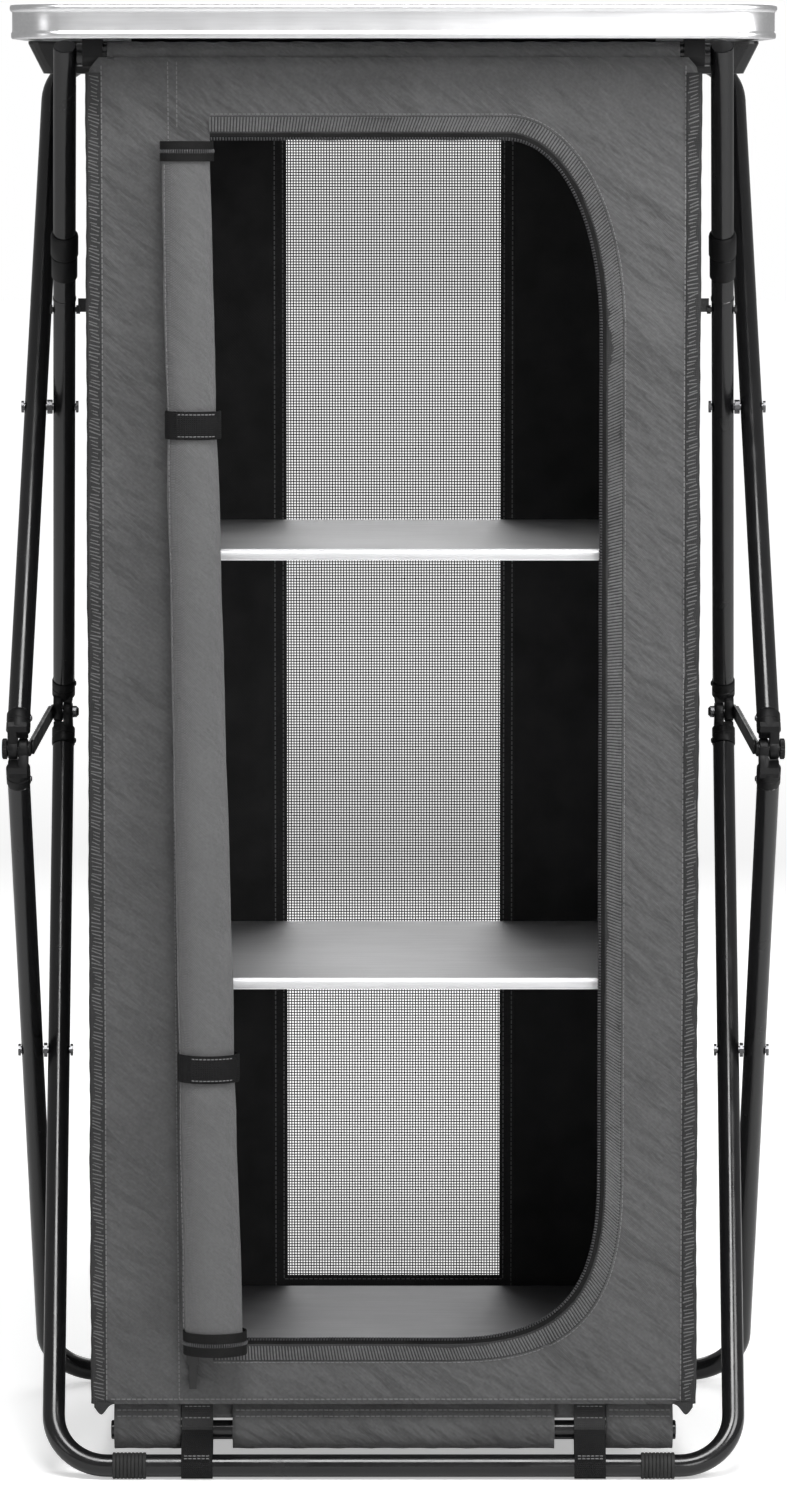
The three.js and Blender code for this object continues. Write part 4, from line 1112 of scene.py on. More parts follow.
@dataclasses.dataclass(frozen=True)
class DoorLine:
    """The outline of the door opening in the front cloth.

    Attributes:
        wide: Width of the upper and of the lower round corner.
        tall: Height of the upper and of the lower round corner.
        power: How square the upper and the lower corner are.
    """

    wide: Pair = (81.0, 137.0)
    tall: Pair = (156.0, 148.0)
    power: Pair = (2.1, 3.0)

    def points(self, grow: float = 0.0) -> list[Pair]:
        """The outline from the upper left corner clockwise to the lower left one.

        Args:
            grow: How far outside the opening's edge the line runs.

        Returns:
            Points of X place and height.
        """
        right, top, low = OPEN_RIGHT + grow, OPEN_TOP + grow, OPEN_LOW - grow
        upper = (self.wide[0] + grow, self.tall[0] + grow)
        lower = (self.wide[1] + grow, self.tall[1] + grow)
        quarter = math.pi / 2
        upper_middle = (right - upper[0], top - upper[1])
        lower_middle = (right - lower[0], low + lower[1])
        line = [(x, top) for x in spaced(OPEN_LEFT, right - upper[0], 34)]
        line += self._corner(upper_middle, upper, (quarter, 0.0), self.power[0])
        line += [(right, z) for z in spaced(top - upper[1], low + lower[1], 74)[1:-1]]
        line += self._corner(lower_middle, lower, (0.0, -quarter), self.power[1])
        line += [(x, low) for x in spaced(right - lower[0], OPEN_LEFT, 30)[1:]]
        return line

    def _corner(self, middle: Pair, size: Pair, turn: Pair, power: float) -> list[Pair]:
        """A quarter of a squared ellipse.

        Args:
            middle: Its middle.
            size: Its half width and half height.
            turn: The angles that it starts and ends at.
            power: How square it is.

        Returns:
            Its points.
        """
        line = []
        for angle in spaced(*turn, 40):
            c = math.copysign(abs(math.cos(angle)) ** (2 / power), math.cos(angle))
            s = math.copysign(abs(math.sin(angle)) ** (2 / power), math.sin(angle))
            line.append((middle[0] + size[0] * c, middle[1] + size[1] * s))
        return line


DOOR_LINE = DoorLine()


@dataclasses.dataclass
class FrontCloth:
    """The front cloth of the box with its door opening, zip, seams and bound edges.

    Attributes:
        band: The width of the facing round the opening.
        rows: Rows of faces between the opening and the cloth's own edge.
        whipped: How many threads are whipped over the facing.
        overlocked: How many threads run over each side edge.
        cut: The width and the height of the cut for the opening. Not used.
        corners_left: The cloth that the cut's round corners leave, in square millimetres. Not used.
    """

    band: float = 13.0
    rows: int = 7
    whipped: int = 620
    overlocked: int = 350
    cut: Pair = (328.0, 982.0)
    corners_left: float = 5900.0

    def build(self) -> None:
        """Makes the cloth, its bands and its zip."""
        cloth = self._panel()
        trim = [
            self._ribbon("door_facing", BINDING, (-0.5, self.band), 0.4, 0.7),
            self._ribbon("zip_tape_frame", ZIP_TAPE, (-5.5, 1.5), 0.0, 0.45),
            self._coil(), self._seams(), self._whipping(), self._overlock(),
            *(self._edge(side, name) for side, name in SIDES),
        ]
        fold_with_box("cloth_front", cloth, *trim)

    def surface(self, x: float, z: float, lift: float = 0.0) -> float:
        """The Y place of the cloth's middle.

        Args:
            x: The place along X.
            z: The height.
            lift: How far in front of the cloth's middle.

        Returns:
            The Y place.
        """
        free = min(1.0, max(0.0, (FRONT_TOP - z) / 40)) * min(1.0, max(0.0, (z - BOX_LOW) / 20))
        near_roll = 1.0 if x > -100 else max(0.1, min(1.0, (-190 - x) / 40))
        wave = ripple(x, 0.0, z, 42.0, 5.0, 4.0) * free * near_roll
        wave += ripple(x + 0.5 * z, 0.0, 0.25 * z - 0.4 * x, 9.0, 0.9, 5.0) * free * near_roll
        near_edge = max(0.0, 1 - (BOX_HALF - abs(x)) / 26)
        puckers = 0.35 * math.sin(z / 5.1 + 2.2 * math.sin(z / 71)) * near_edge
        track = math.exp(-((z - 100.0) / 16.0) ** 2) if -178 < x < 124 else 0.0
        return BOX_FRONT + 0.75 + wave * (1 - track) + 1.7 * track + puckers - lift

    def _point(self, x: float, z: float) -> Point:
        """The point of the cloth's middle at a place."""
        return x, self.surface(x, z), z

    def _line(self, places: Iterable[Pair], lift: float) -> list[Vector]:
        """The line through X places and heights, lifted off the cloth."""
        return [Vector((x, self.surface(x, z, lift), z)) for x, z in places]

    def _panel(self) -> bpy.types.Object:
        """The cloth in rings from the opening out to the panel's own edge."""
        inner = DOOR_LINE.points()
        outer = [self._outer(x, z) for x, z in inner]
        loops = []
        for row in range(self.rows + 1):
            share = row / self.rows
            loops.append([self._point(x0 + (x1 - x0) * share, z0 + (z1 - z0) * share)
                          for (x0, z0), (x1, z1) in zip(inner, outer)])
        shapes = [skin(loops)]
        left = spaced(-BOX_HALF, OPEN_LEFT, 15)
        for low, high, count in ((OPEN_LOW, OPEN_TOP, 150), (BOX_LOW, OPEN_LOW, self.rows + 1),
                                 (OPEN_TOP, FRONT_TOP, self.rows + 1)):
            shapes.append(grid(left, spaced(low, high, count), self._point))
        points, faces = joined(shapes)
        points = [(self._trimmed(x, z), y, z) for x, y, z in points]
        return sheet_object("front_cloth", (points, faces), CLOTH, inward=lambda _: REARWARD)

    def _trimmed(self, x: float, z: float) -> float:
        """The X place with the panel's upper corners rounded off."""
        cut = max(0.0, (z - (FRONT_TOP - 16)) / 16) ** 2 * 9
        return max(cut - BOX_HALF, min(BOX_HALF - cut, x))

    def _outer(self, x: float, z: float) -> Pair:
        """The point on the panel's edge for a point of the opening's edge.

        Args:
            x: The point's X place.
            z: The point's height.

        Returns:
            The X place and the height on the panel's edge.
        """
        wide, tall = DOOR_LINE.wide, DOOR_LINE.tall
        if z >= OPEN_TOP - tall[0] and x > OPEN_RIGHT - wide[0]:
            turn = math.atan2(z - OPEN_TOP + tall[0], x - OPEN_RIGHT + wide[0])
            return self._corner_point(turn, OPEN_TOP - tall[0], FRONT_TOP, wide[0])
        if z <= OPEN_LOW + tall[1] and x > OPEN_RIGHT - wide[1]:
            turn = math.atan2(OPEN_LOW + tall[1] - z, x - OPEN_RIGHT + wide[1])
            return self._corner_point(turn, OPEN_LOW + tall[1], BOX_LOW, wide[1])
        if z > OPEN_TOP - 1:
            return x, FRONT_TOP
        if z < OPEN_LOW + 1:
            return x, BOX_LOW
        return BOX_HALF, z

    def _corner_point(self, turn: float, start: float, edge: float, wide: float) -> Pair:
        """A point on the panel's edge round its right corner.

        Args:
            turn: The angle round the opening's corner.
            start: The height where the opening's corner starts.
            edge: The height of the panel's edge.
            wide: The width of the opening's corner.

        Returns:
            The X place and the height.
        """
        share = turn / (math.pi / 2)
        if share > 0.5:
            return BOX_HALF - (share - 0.5) * 2 * (BOX_HALF - OPEN_RIGHT + wide), edge
        return BOX_HALF, start + (edge - start) * share * 2

    def _ribbon(self, name: str, finish: Finish, edges: Pair, lift: float,
                high: float) -> bpy.types.Object:
        """A flat band that follows the opening.

        Args:
            name: The band's name.
            finish: Its finish.
            edges: The distances of its two edges from the opening's edge.
            lift: How far its back is in front of the cloth's middle.
            high: How thick it is.

        Returns:
            The band.
        """
        loops = []
        for (x0, z0), (x1, z1) in zip(*(DOOR_LINE.points(edge) for edge in edges)):
            base0, base1 = self.surface(x0, z0, lift), self.surface(x1, z1, lift)
            in_x, in_z = (x1 - x0) * 0.12, (z1 - z0) * 0.12
            loops.append([(x0, base0, z0), (x0 + in_x, base0 - high, z0 + in_z),
                          (x1 - in_x, base1 - high, z1 - in_z), (x1, base1, z1)])
        return make_object(name, loft(loops), finish)

    def _coil(self) -> bpy.types.Object:
        """The zip's coil on the tape's inner edge."""
        strip = Strip()
        strip.bars(self._line(DOOR_LINE.points(-4.8), 0.6), FRONTWARD, 2.3, 0.2, 2.6, 1.1)
        return strip.build("zip_coil_frame", ZIP_COIL)

    def _seams(self) -> bpy.types.Object:
        """The rows of stitches round the facing and along the panel's edges."""
        strip = Strip()
        round_facing = self._line(DOOR_LINE.points(self.band + 1.6), 0.4)
        strip.stitches(round_facing, FRONTWARD, 3.6, 0.7, 0.4)
        for x in (-229.0, 229.0):
            heights = spaced(BOX_LOW + 3, FRONT_TOP - 6, 130)
            strip.stitches(self._line([(x, z) for z in heights], 0.4), FRONTWARD)
        for x_top, x_low, low, high in ((-177.0, -171.0, BOX_LOW + 3, FRONT_TOP - 3),
                                        (-170.0, -168.0, OPEN_TOP + 4, FRONT_TOP - 3)):
            slant = [(x_low + (x_top - x_low) * (z - BOX_LOW) / (FRONT_TOP - BOX_LOW), z)
                     for z in spaced(low, high, 140)]
            strip.stitches(self._line(slant, 0.45), FRONTWARD, 3.6, 0.8, 0.4)
        bottom = [(x, BOX_LOW + 4.0) for x in spaced(-226, 226, 60)]
        strip.stitches(self._line(bottom, 0.4), FRONTWARD)
        return strip.build("front_stitches", THREAD)

    def _whipping(self) -> bpy.types.Object:
        """The threads that are whipped over the facing, at even places along both its edges."""
        strip = Strip()
        starts = []
        for grow in (1.0, self.band - 0.6):
            line = self._line(DOOR_LINE.points(grow), 1.05)
            starts.append([start for start, _ in paced(line, length(line) / self.whipped)])
        for near, far in zip(*starts):
            strip.bar(near, far, FRONTWARD, 1.6, 0.55)
        return strip.build("facing_threads", OVERLOCK)

    def _overlock(self) -> bpy.types.Object:
        """The overlock threads that run aslant over both side edges."""
        strip = Strip()
        for side in (-1, 1):
            for z in spaced(BOX_LOW + 4, FRONT_TOP - 16, self.overlocked):
                y = self.surface(side * (BOX_HALF - 5), z, 1.55)
                reach = random.uniform(0.0, 2.6)
                start = Vector((side * (BOX_HALF - 9.6 + reach), y, z + random.uniform(-0.3, 0.3)))
                end = Vector((side * (BOX_HALF - 0.6), y + 0.1, z + random.uniform(1.4, 3.4)))
                strip.bar(start, end, FRONTWARD, 1.1, 0.45)
        return strip.build("overlock_threads", OVERLOCK)

    def _edge(self, side: int, name: str) -> bpy.types.Object:
        """The bound side edge of the front cloth.

        Args:
            side: -1 on the left and 1 on the right.
            name: The side's name.

        Returns:
            The binding.
        """
        loops = []
        for z in spaced(BOX_LOW + 0.5, FRONT_TOP - 12, 240):
            y = self.surface(side * (BOX_HALF - 5), z)
            puff = 0.12 * math.sin(z / 2.9) + ripple(side * 40.0, 0.0, z, 26.0, 1.0, 9.0)
            inner, outer = BOX_HALF - 10.5, BOX_HALF + 1.6 + puff
            section = ((inner, -0.5), (inner + 1.4, -1.5), (outer - 1.6, -1.7), (outer, -0.3),
                       (outer - 1.2, 1.6), (inner + 2, 1.0))
            loops.append([(side * x, y + shift, z) for x, shift in section])
        return make_object(f"edge_binding_{name}", loft(loops), BINDING)


@dataclasses.dataclass
class DoorRoll:
    """The rolled-up door: cloth wound in a spiral, with zip ends and two straps.

    Attributes:
        winds: How many times the cloth goes round.
        around: Points in each turn.
        levels: Rows of points along the roll.
        strap_half: Half the width of a strap.
    """

    winds: float = 4.2
    around: int = 30
    levels: int = 70
    strap_half: float = 11.0

    def build(self) -> None:
        """Makes the roll, its seam, its zip ends and its straps."""
        roll = self._cloth()
        trim = [self._seam(), *self._zip_end(ROLL_TOP[0] - 15, ROLL_TOP[0] + 0.6, "top"),
                *self._zip_end(ROLL_LOW[0] - 0.6, ROLL_LOW[0] + 18, "low")]
        fold_with_box("door_roll", roll, *trim)
        middle = (ROLL_LOW[0] + ROLL_TOP[0]) / 2
        line = [Vector(self._point(turn, middle, wind)) for turn, wind in self._turns()]
        width = (8 + length(line)) * MM
        for height, node in zip(STRAP_HEIGHTS, ("roll_strap_lower", "roll_strap_upper")):
            self._strap(height, node)

    def _at(self, z: float) -> Point:
        """The roll at a height.

        Args:
            z: The height.

        Returns:
            The X place and the Y place of its middle, and its half width.
        """
        share = (z - ROLL_LOW[0]) / (ROLL_TOP[0] - ROLL_LOW[0])
        radius = ROLL_LOW[2] + (ROLL_TOP[2] - ROLL_LOW[2]) * share
        return ROLL_LOW[1] + (ROLL_TOP[1] - ROLL_LOW[1]) * share, ROLL_BACK - radius * ROLL_FLAT, radius

    def _point(self, turn: float, z: float, wind: float = 0.0, lift: float = 0.0) -> Point:
        """A point of the roll.

        Args:
            turn: The angle round the roll, from +X towards +Y.
            z: The height.
            wind: How far into the roll the layer is, from 0 to 1.
            lift: How far off the layer.

        Returns:
            The point.
        """
        x, y, radius = self._at(z)
        pinch = sum(math.exp(-((z - h) / 17) ** 2) for h in STRAP_HEIGHTS)
        soft = 1 - 0.75 * wind
        uneven = ripple(30 * math.cos(turn), 30 * math.sin(turn), z / 1.6, 26.0, 1.5 * soft, 2.0)
        reach = radius * (1 - 0.7 * wind) - 0.6 - 0.9 * pinch * soft + uneven * (1 - 0.7 * pinch) + lift
        back = y + ROLL_FLAT * reach * math.sin(turn)
        return x + reach * math.cos(turn), min(back, ROLL_BACK + 0.1), z

    def _turns(self) -> list[Pair]:
        """The angle and the depth of each point of the spiral, from the sewn side inwards."""
        count = round(self.winds * self.around)
        start = math.radians(158)
        return [(start + 2 * math.pi * self.winds * i / count, i / count) for i in range(count + 1)]

    def _cloth(self) -> bpy.types.Object:
        """The cloth in its spiral, with the sewn side behind it."""
        loops = []
        for z in spaced(ROLL_LOW[0], ROLL_TOP[0], self.levels):
            x, _, radius = self._at(z)
            tail = [(x - 0.8 * radius - 1.5, ROLL_BACK, z), (x - 0.9 * radius, ROLL_BACK - 0.9, z)]
            loops.append([*tail, *(self._point(turn, z, wind) for turn, wind in self._turns())])
        return sheet_object("rolled_door", skin(loops), DOOR)

    def _seam(self) -> bpy.types.Object:
        """The row of stitches down the front of the roll, from 212 degrees round to 190."""
        line = []
        for z in spaced(ROLL_LOW[0] + 20, ROLL_TOP[0] - 17, 150):
            share = (z - ROLL_LOW[0]) / (ROLL_TOP[0] - ROLL_LOW[0])
            turn = math.radians(190.0 + (212.0 - 190.0) * share)
            line.append(Vector(self._point(turn, z, 0.0, 0.5)))
        strip = Strip()
        strip.stitches(line, Vector((-0.6, -0.8, 0)))
        return strip.build("roll_stitches", THREAD)

    def _zip_end(self, low: float, high: float, word: str) -> list[bpy.types.Object]:
        """The zip tape and coil that are rolled up with one end of the door.

        Args:
            low: The height of the tape's lower edge.
            high: The height of its upper edge.
            word: The end's name.

        Returns:
            The tape and the coil.
        """
        turns = [math.radians(a) for a in spaced(166.0, 504.0, 60)]
        section = ((low, 0.3), (high, 0.3), (high, 1.2), (low, 1.2))
        band = loft([[self._point(turn, z, 0.0, lift) for z, lift in section] for turn in turns])
        coil = Strip()
        middle = (low + high) / 2
        line = [Vector(self._point(turn, middle, 0.0, 1.2)) for turn in turns]
        axis = Vector(self._at(middle)[:2] + (middle,))
        rise = Vector((0, 0, 1.5))
        for start, end in paced(line, 1.9):
            place = (start + end) / 2
            coil.bar(place - rise, place + rise, (place - axis).normalized(), 1.2, 0.8)
        return [make_object(f"roll_zip_tape_{word}", band, ZIP_TAPE),
                coil.build(f"roll_zip_coil_{word}", ZIP_COIL)]

    def _strap(self, height: float, node: str) -> None:
        """A webbing strap round the roll, with its end laid over itself and sewn.

        Args:
            height: The height of its middle.
            node: The CAD node that it replaces.
        """
        half = self.strap_half
        band = self._webbing(f"{node}_webbing", height, half, (128.0, 412.0), (1.0, 2.3))
        lap = self._webbing(f"{node}_lap", height, half - 0.8, (236.0, 322.0), (2.4, 3.5))
        stitches = Strip()
        for edge in (-half + 2.4, half - 2.4):
            turns = [math.radians(a) for a in spaced(240.0, 318.0, 24)]
            line = [Vector(self._point(t, height, 0.0, 3.55)) + Vector((0, 0, edge)) for t in turns]
            stitches.stitches(line, FRONTWARD, 3.2, 0.8, 0.4)
        sewn = stitches.build(f"{node}_stitches", THREAD)
        fold_with_box(node, band, lap, sewn)

    def _webbing(self, name: str, height: float, half: float, arc: Pair,
                 lifts: Pair) -> bpy.types.Object:
        """A band round part of the roll with slightly rounded edges.

        Args:
            name: The band's name.
            height: The height of its middle.
            half: Half its width.
            arc: The angles that it starts and ends at.
            lifts: How far its inner and its outer face are off the roll.

        Returns:
            The band.
        """
        near, far = lifts
        section = ((near, -half), (near, half), (far - 0.3, half), (far, half - 1.0),
                   (far, 1 - half), (far - 0.3, -half))
        loops = []
        for turn in (math.radians(a) for a in spaced(*arc, 64)):
            loops.append([(*self._point(turn, height, 0.0, lift)[:2], height + rise)
                          for lift, rise in section])
        return make_object(name, loft(loops), WEBBING)


@dataclasses.dataclass
class BoxCloth:
    """The sides, floor, back, window and top of the cloth box.

    Attributes:
        wall: The X place of a side wall's middle.
        depth: Half the depth of a side wall.
        top_front: The Y place of the top cloth's front edge.
        top_back: The Y place of its back edge.
        pitch: The spacing of the net's strands.
        strand: Half the width of a strand.
    """

    wall: float = BOX_HALF - 0.75
    depth: float = 199.5
    top_front: float = -176.0
    top_back: float = 200.0
    pitch: float = 2.35
    strand: float = 0.45

    def build(self) -> None:
        """Makes the cloths and the window's net."""
        self._walls()
        self._back()
        self._top()
        self._net()

    def _walls(self) -> None:
        """Both sides and the floor as one cloth, with the ledges that the shelves lie on."""
        low = BOX_LOW + 0.75
        path = [(-self.wall, z) for z in spaced(BOX_TOP, low, 96)]
        path += [(x, low) for x in spaced(-self.wall, self.wall, 42)[1:-1]]
        path += [(self.wall, z) for z in spaced(low, BOX_TOP, 96)]
        deep = spaced(-self.depth, self.depth, 36)
        loops = [[self._wall_point(x, y, z) for y in deep] for x, z in path]
        walls = sheet_object("box_walls", skin(loops), CLOTH,
                             inward=lambda c: Vector((-math.copysign(1, c.x), 0, 1)).normalized())
        seams = Strip()
        for side in (-1, 1):
            lines = [[(y, z) for z in spaced(70, 1098, 120)] for y in (-192.0, 192.0)]
            lines += [[(y, z) for y in spaced(-190, 190, 50)] for z in (1100.0, 69.0)]
            offset = Vector((side * 0.5, 0, 0))
            for line in lines:
                seam = [Vector(self._wall_point(side * self.wall, y, z)) + offset for y, z in line]
                seams.stitches(seam, Vector((side, 0, 0)))
        stitches = seams.build("wall_stitches", THREAD)
        fold_with_box("cloth_walls", walls, stitches)
        trim = [stitches, *(self._ledges(body, top) for body, top in SHELF_TOPS.items())]

    def _ledges(self, body: str, top: float) -> bpy.types.Object:
        """The ledges of one shelf, which come down with it.

        Args:
            body: The shelf's body.
            top: The height of the shelf's top.

        Returns:
            The ledges.
        """
        seat = top - 9.5
        ledges = Strip()
        for side in (-1, 1):
            loops = []
            for y in spaced(-196, 196, 60):
                sag = 0.5 * math.sin(y / 23)
                loops.append([(side * 235.6, y, seat - 1.5), (side * 235.6, y, seat - 0.2),
                              (side * 223, y, seat - 0.2), (side * 223, y, seat - 1.5 + sag * 0.3)])
            ledges.add(loops)
        return ledges.build(f"{body}_ledges", CLOTH, body)

    def _wall_point(self, x: float, y: float, z: float) -> Point:
        """The uneven point of the walls or the floor for a flat one.

        Args:
            x: The flat point's X place.
            y: Its Y place.
            z: Its height.

        Returns:
            The point.
        """
        if abs(x) > self.wall - 0.01:
            ease = min(1.0, (self.depth - abs(y)) / 30) * min(1.0, (z - BOX_LOW) / 30)
            wave = ripple(y, 0.0, z, 58.0, 5.0, 3.0 + x / 100) * ease
            return x + math.copysign(wave, x) - math.copysign(0.8 * ease, x), y, z
        return x, y, z - 0.6 * abs(noise.noise(Vector((x / 60, y / 60, 3.0))))

    def _back(self) -> None:
        """The back cloth with its window, the window's facing and the seams."""
        xs = [spaced(-self.wall, -WINDOW_HALF, 12), spaced(-WINDOW_HALF, WINDOW_HALF, 14),
              spaced(WINDOW_HALF, self.wall, 12)]
        zs = [spaced(BOX_LOW, WINDOW_LOW, 6), spaced(WINDOW_LOW, WINDOW_TOP, 90),
              spaced(WINDOW_TOP, BOX_TOP, 6)]
        shape = joined(grid(xs[column], zs[row], lambda x, z: (x, self._back_y(x, z), z))
                       for row in range(3) for column in range(3) if (row, column) != (1, 1))
        back = sheet_object("back_cloth", shape, CLOTH, inward=lambda _: FRONTWARD)
        facing, seams = Strip(), Strip()
        for face, y in ((-1, BOX_BACK - 1.4), (1, BOX_BACK - 0.25)):
            far = y + face * 0.7
            facing.add([[(x0, y, z0), (x0, far, z0), (x1, far, z1), (x1, y, z1)]
                        for (x0, z0), (x1, z1) in zip(self._window(-1.5), self._window(11))])
            for inset in (1.6, 8.6):
                line = [Vector((x, far, z)) for x, z in self._window(inset)]
                for a, b in zip(line, line[1:]):
                    seams.stitches([a, b], Vector((0, face, 0)))
        for x in (-231, 231):
            heights = spaced(66, 1102, 120)
            seams.stitches([Vector((x, self._back_y(x, z) + 0.45, z)) for z in heights], REARWARD)
        trim = [facing.build("window_facing", BINDING), seams.build("back_stitches", THREAD)]
        fold_with_box("cloth_back", back, *trim)

    def _window(self, grow: float) -> list[Pair]:
        """The grown outline of the window, from its lower left corner round to it again."""
        reach, low, high = WINDOW_HALF + grow, WINDOW_LOW - grow, WINDOW_TOP + grow
        return [(-reach, low), (reach, low), (reach, high), (-reach, high), (-reach, low)]

    def _back_y(self, x: float, z: float) -> float:
        """The Y place of the back cloth's middle."""
        ease = min(1.0, max(0.0, (abs(x) - WINDOW_HALF) / 30), (BOX_HALF - abs(x)) / 12)
        return BOX_BACK - 0.75 + ripple(x, 30.0, z, 52.0, 2.2, 6.0) * max(0.0, ease)

    def _top(self) -> None:
        """The cloth under the table top, a little slack."""
        across = spaced(-self.wall, self.wall, 40)
        deep = spaced(self.top_front, self.top_back, 34)
        top = sheet_object("top_cloth", grid(across, deep, self._top_point), CLOTH,
                           inward=lambda _: Vector((0, 0, -1)))
        fold_with_box("cloth_top", top)

    def _top_point(self, x: float, y: float) -> Point:
        """The point of the top cloth at a place."""
        slack = (1 - (x / self.wall) ** 2) * max(0.0, 1 - (y / self.top_back) ** 2)
        return x, y, BOX_TOP - 0.75 - 5 * slack + ripple(x, y, 0.0, 60.0, 2.0, 8.0) * slack

    def _net(self) -> None:
        """The window's mesh, as real strands both ways."""
        strip = Strip()
        pitch, half = self.pitch, self.strand
        reach = WINDOW_HALF + 2
        low, high = WINDOW_LOW - 2, WINDOW_TOP + 2
        y = BOX_BACK - 0.82
        for x in spaced(-reach, reach, round(2 * reach / pitch) + 1):
            strip.add([[(x - half, y, z), (x, y - 0.25, z), (x + half, y, z), (x, y + 0.25, z)]
                       for z in (low, high)])
        for z in spaced(low, high, round((high - low) / pitch) + 1):
            strip.add([[(x, y, z - half), (x, y - 0.22, z), (x, y, z + half), (x, y + 0.22, z)]
                       for x in (-reach, reach)])
        net = strip.build("window_mesh", NET)
        fold_with_box("window_net", net)


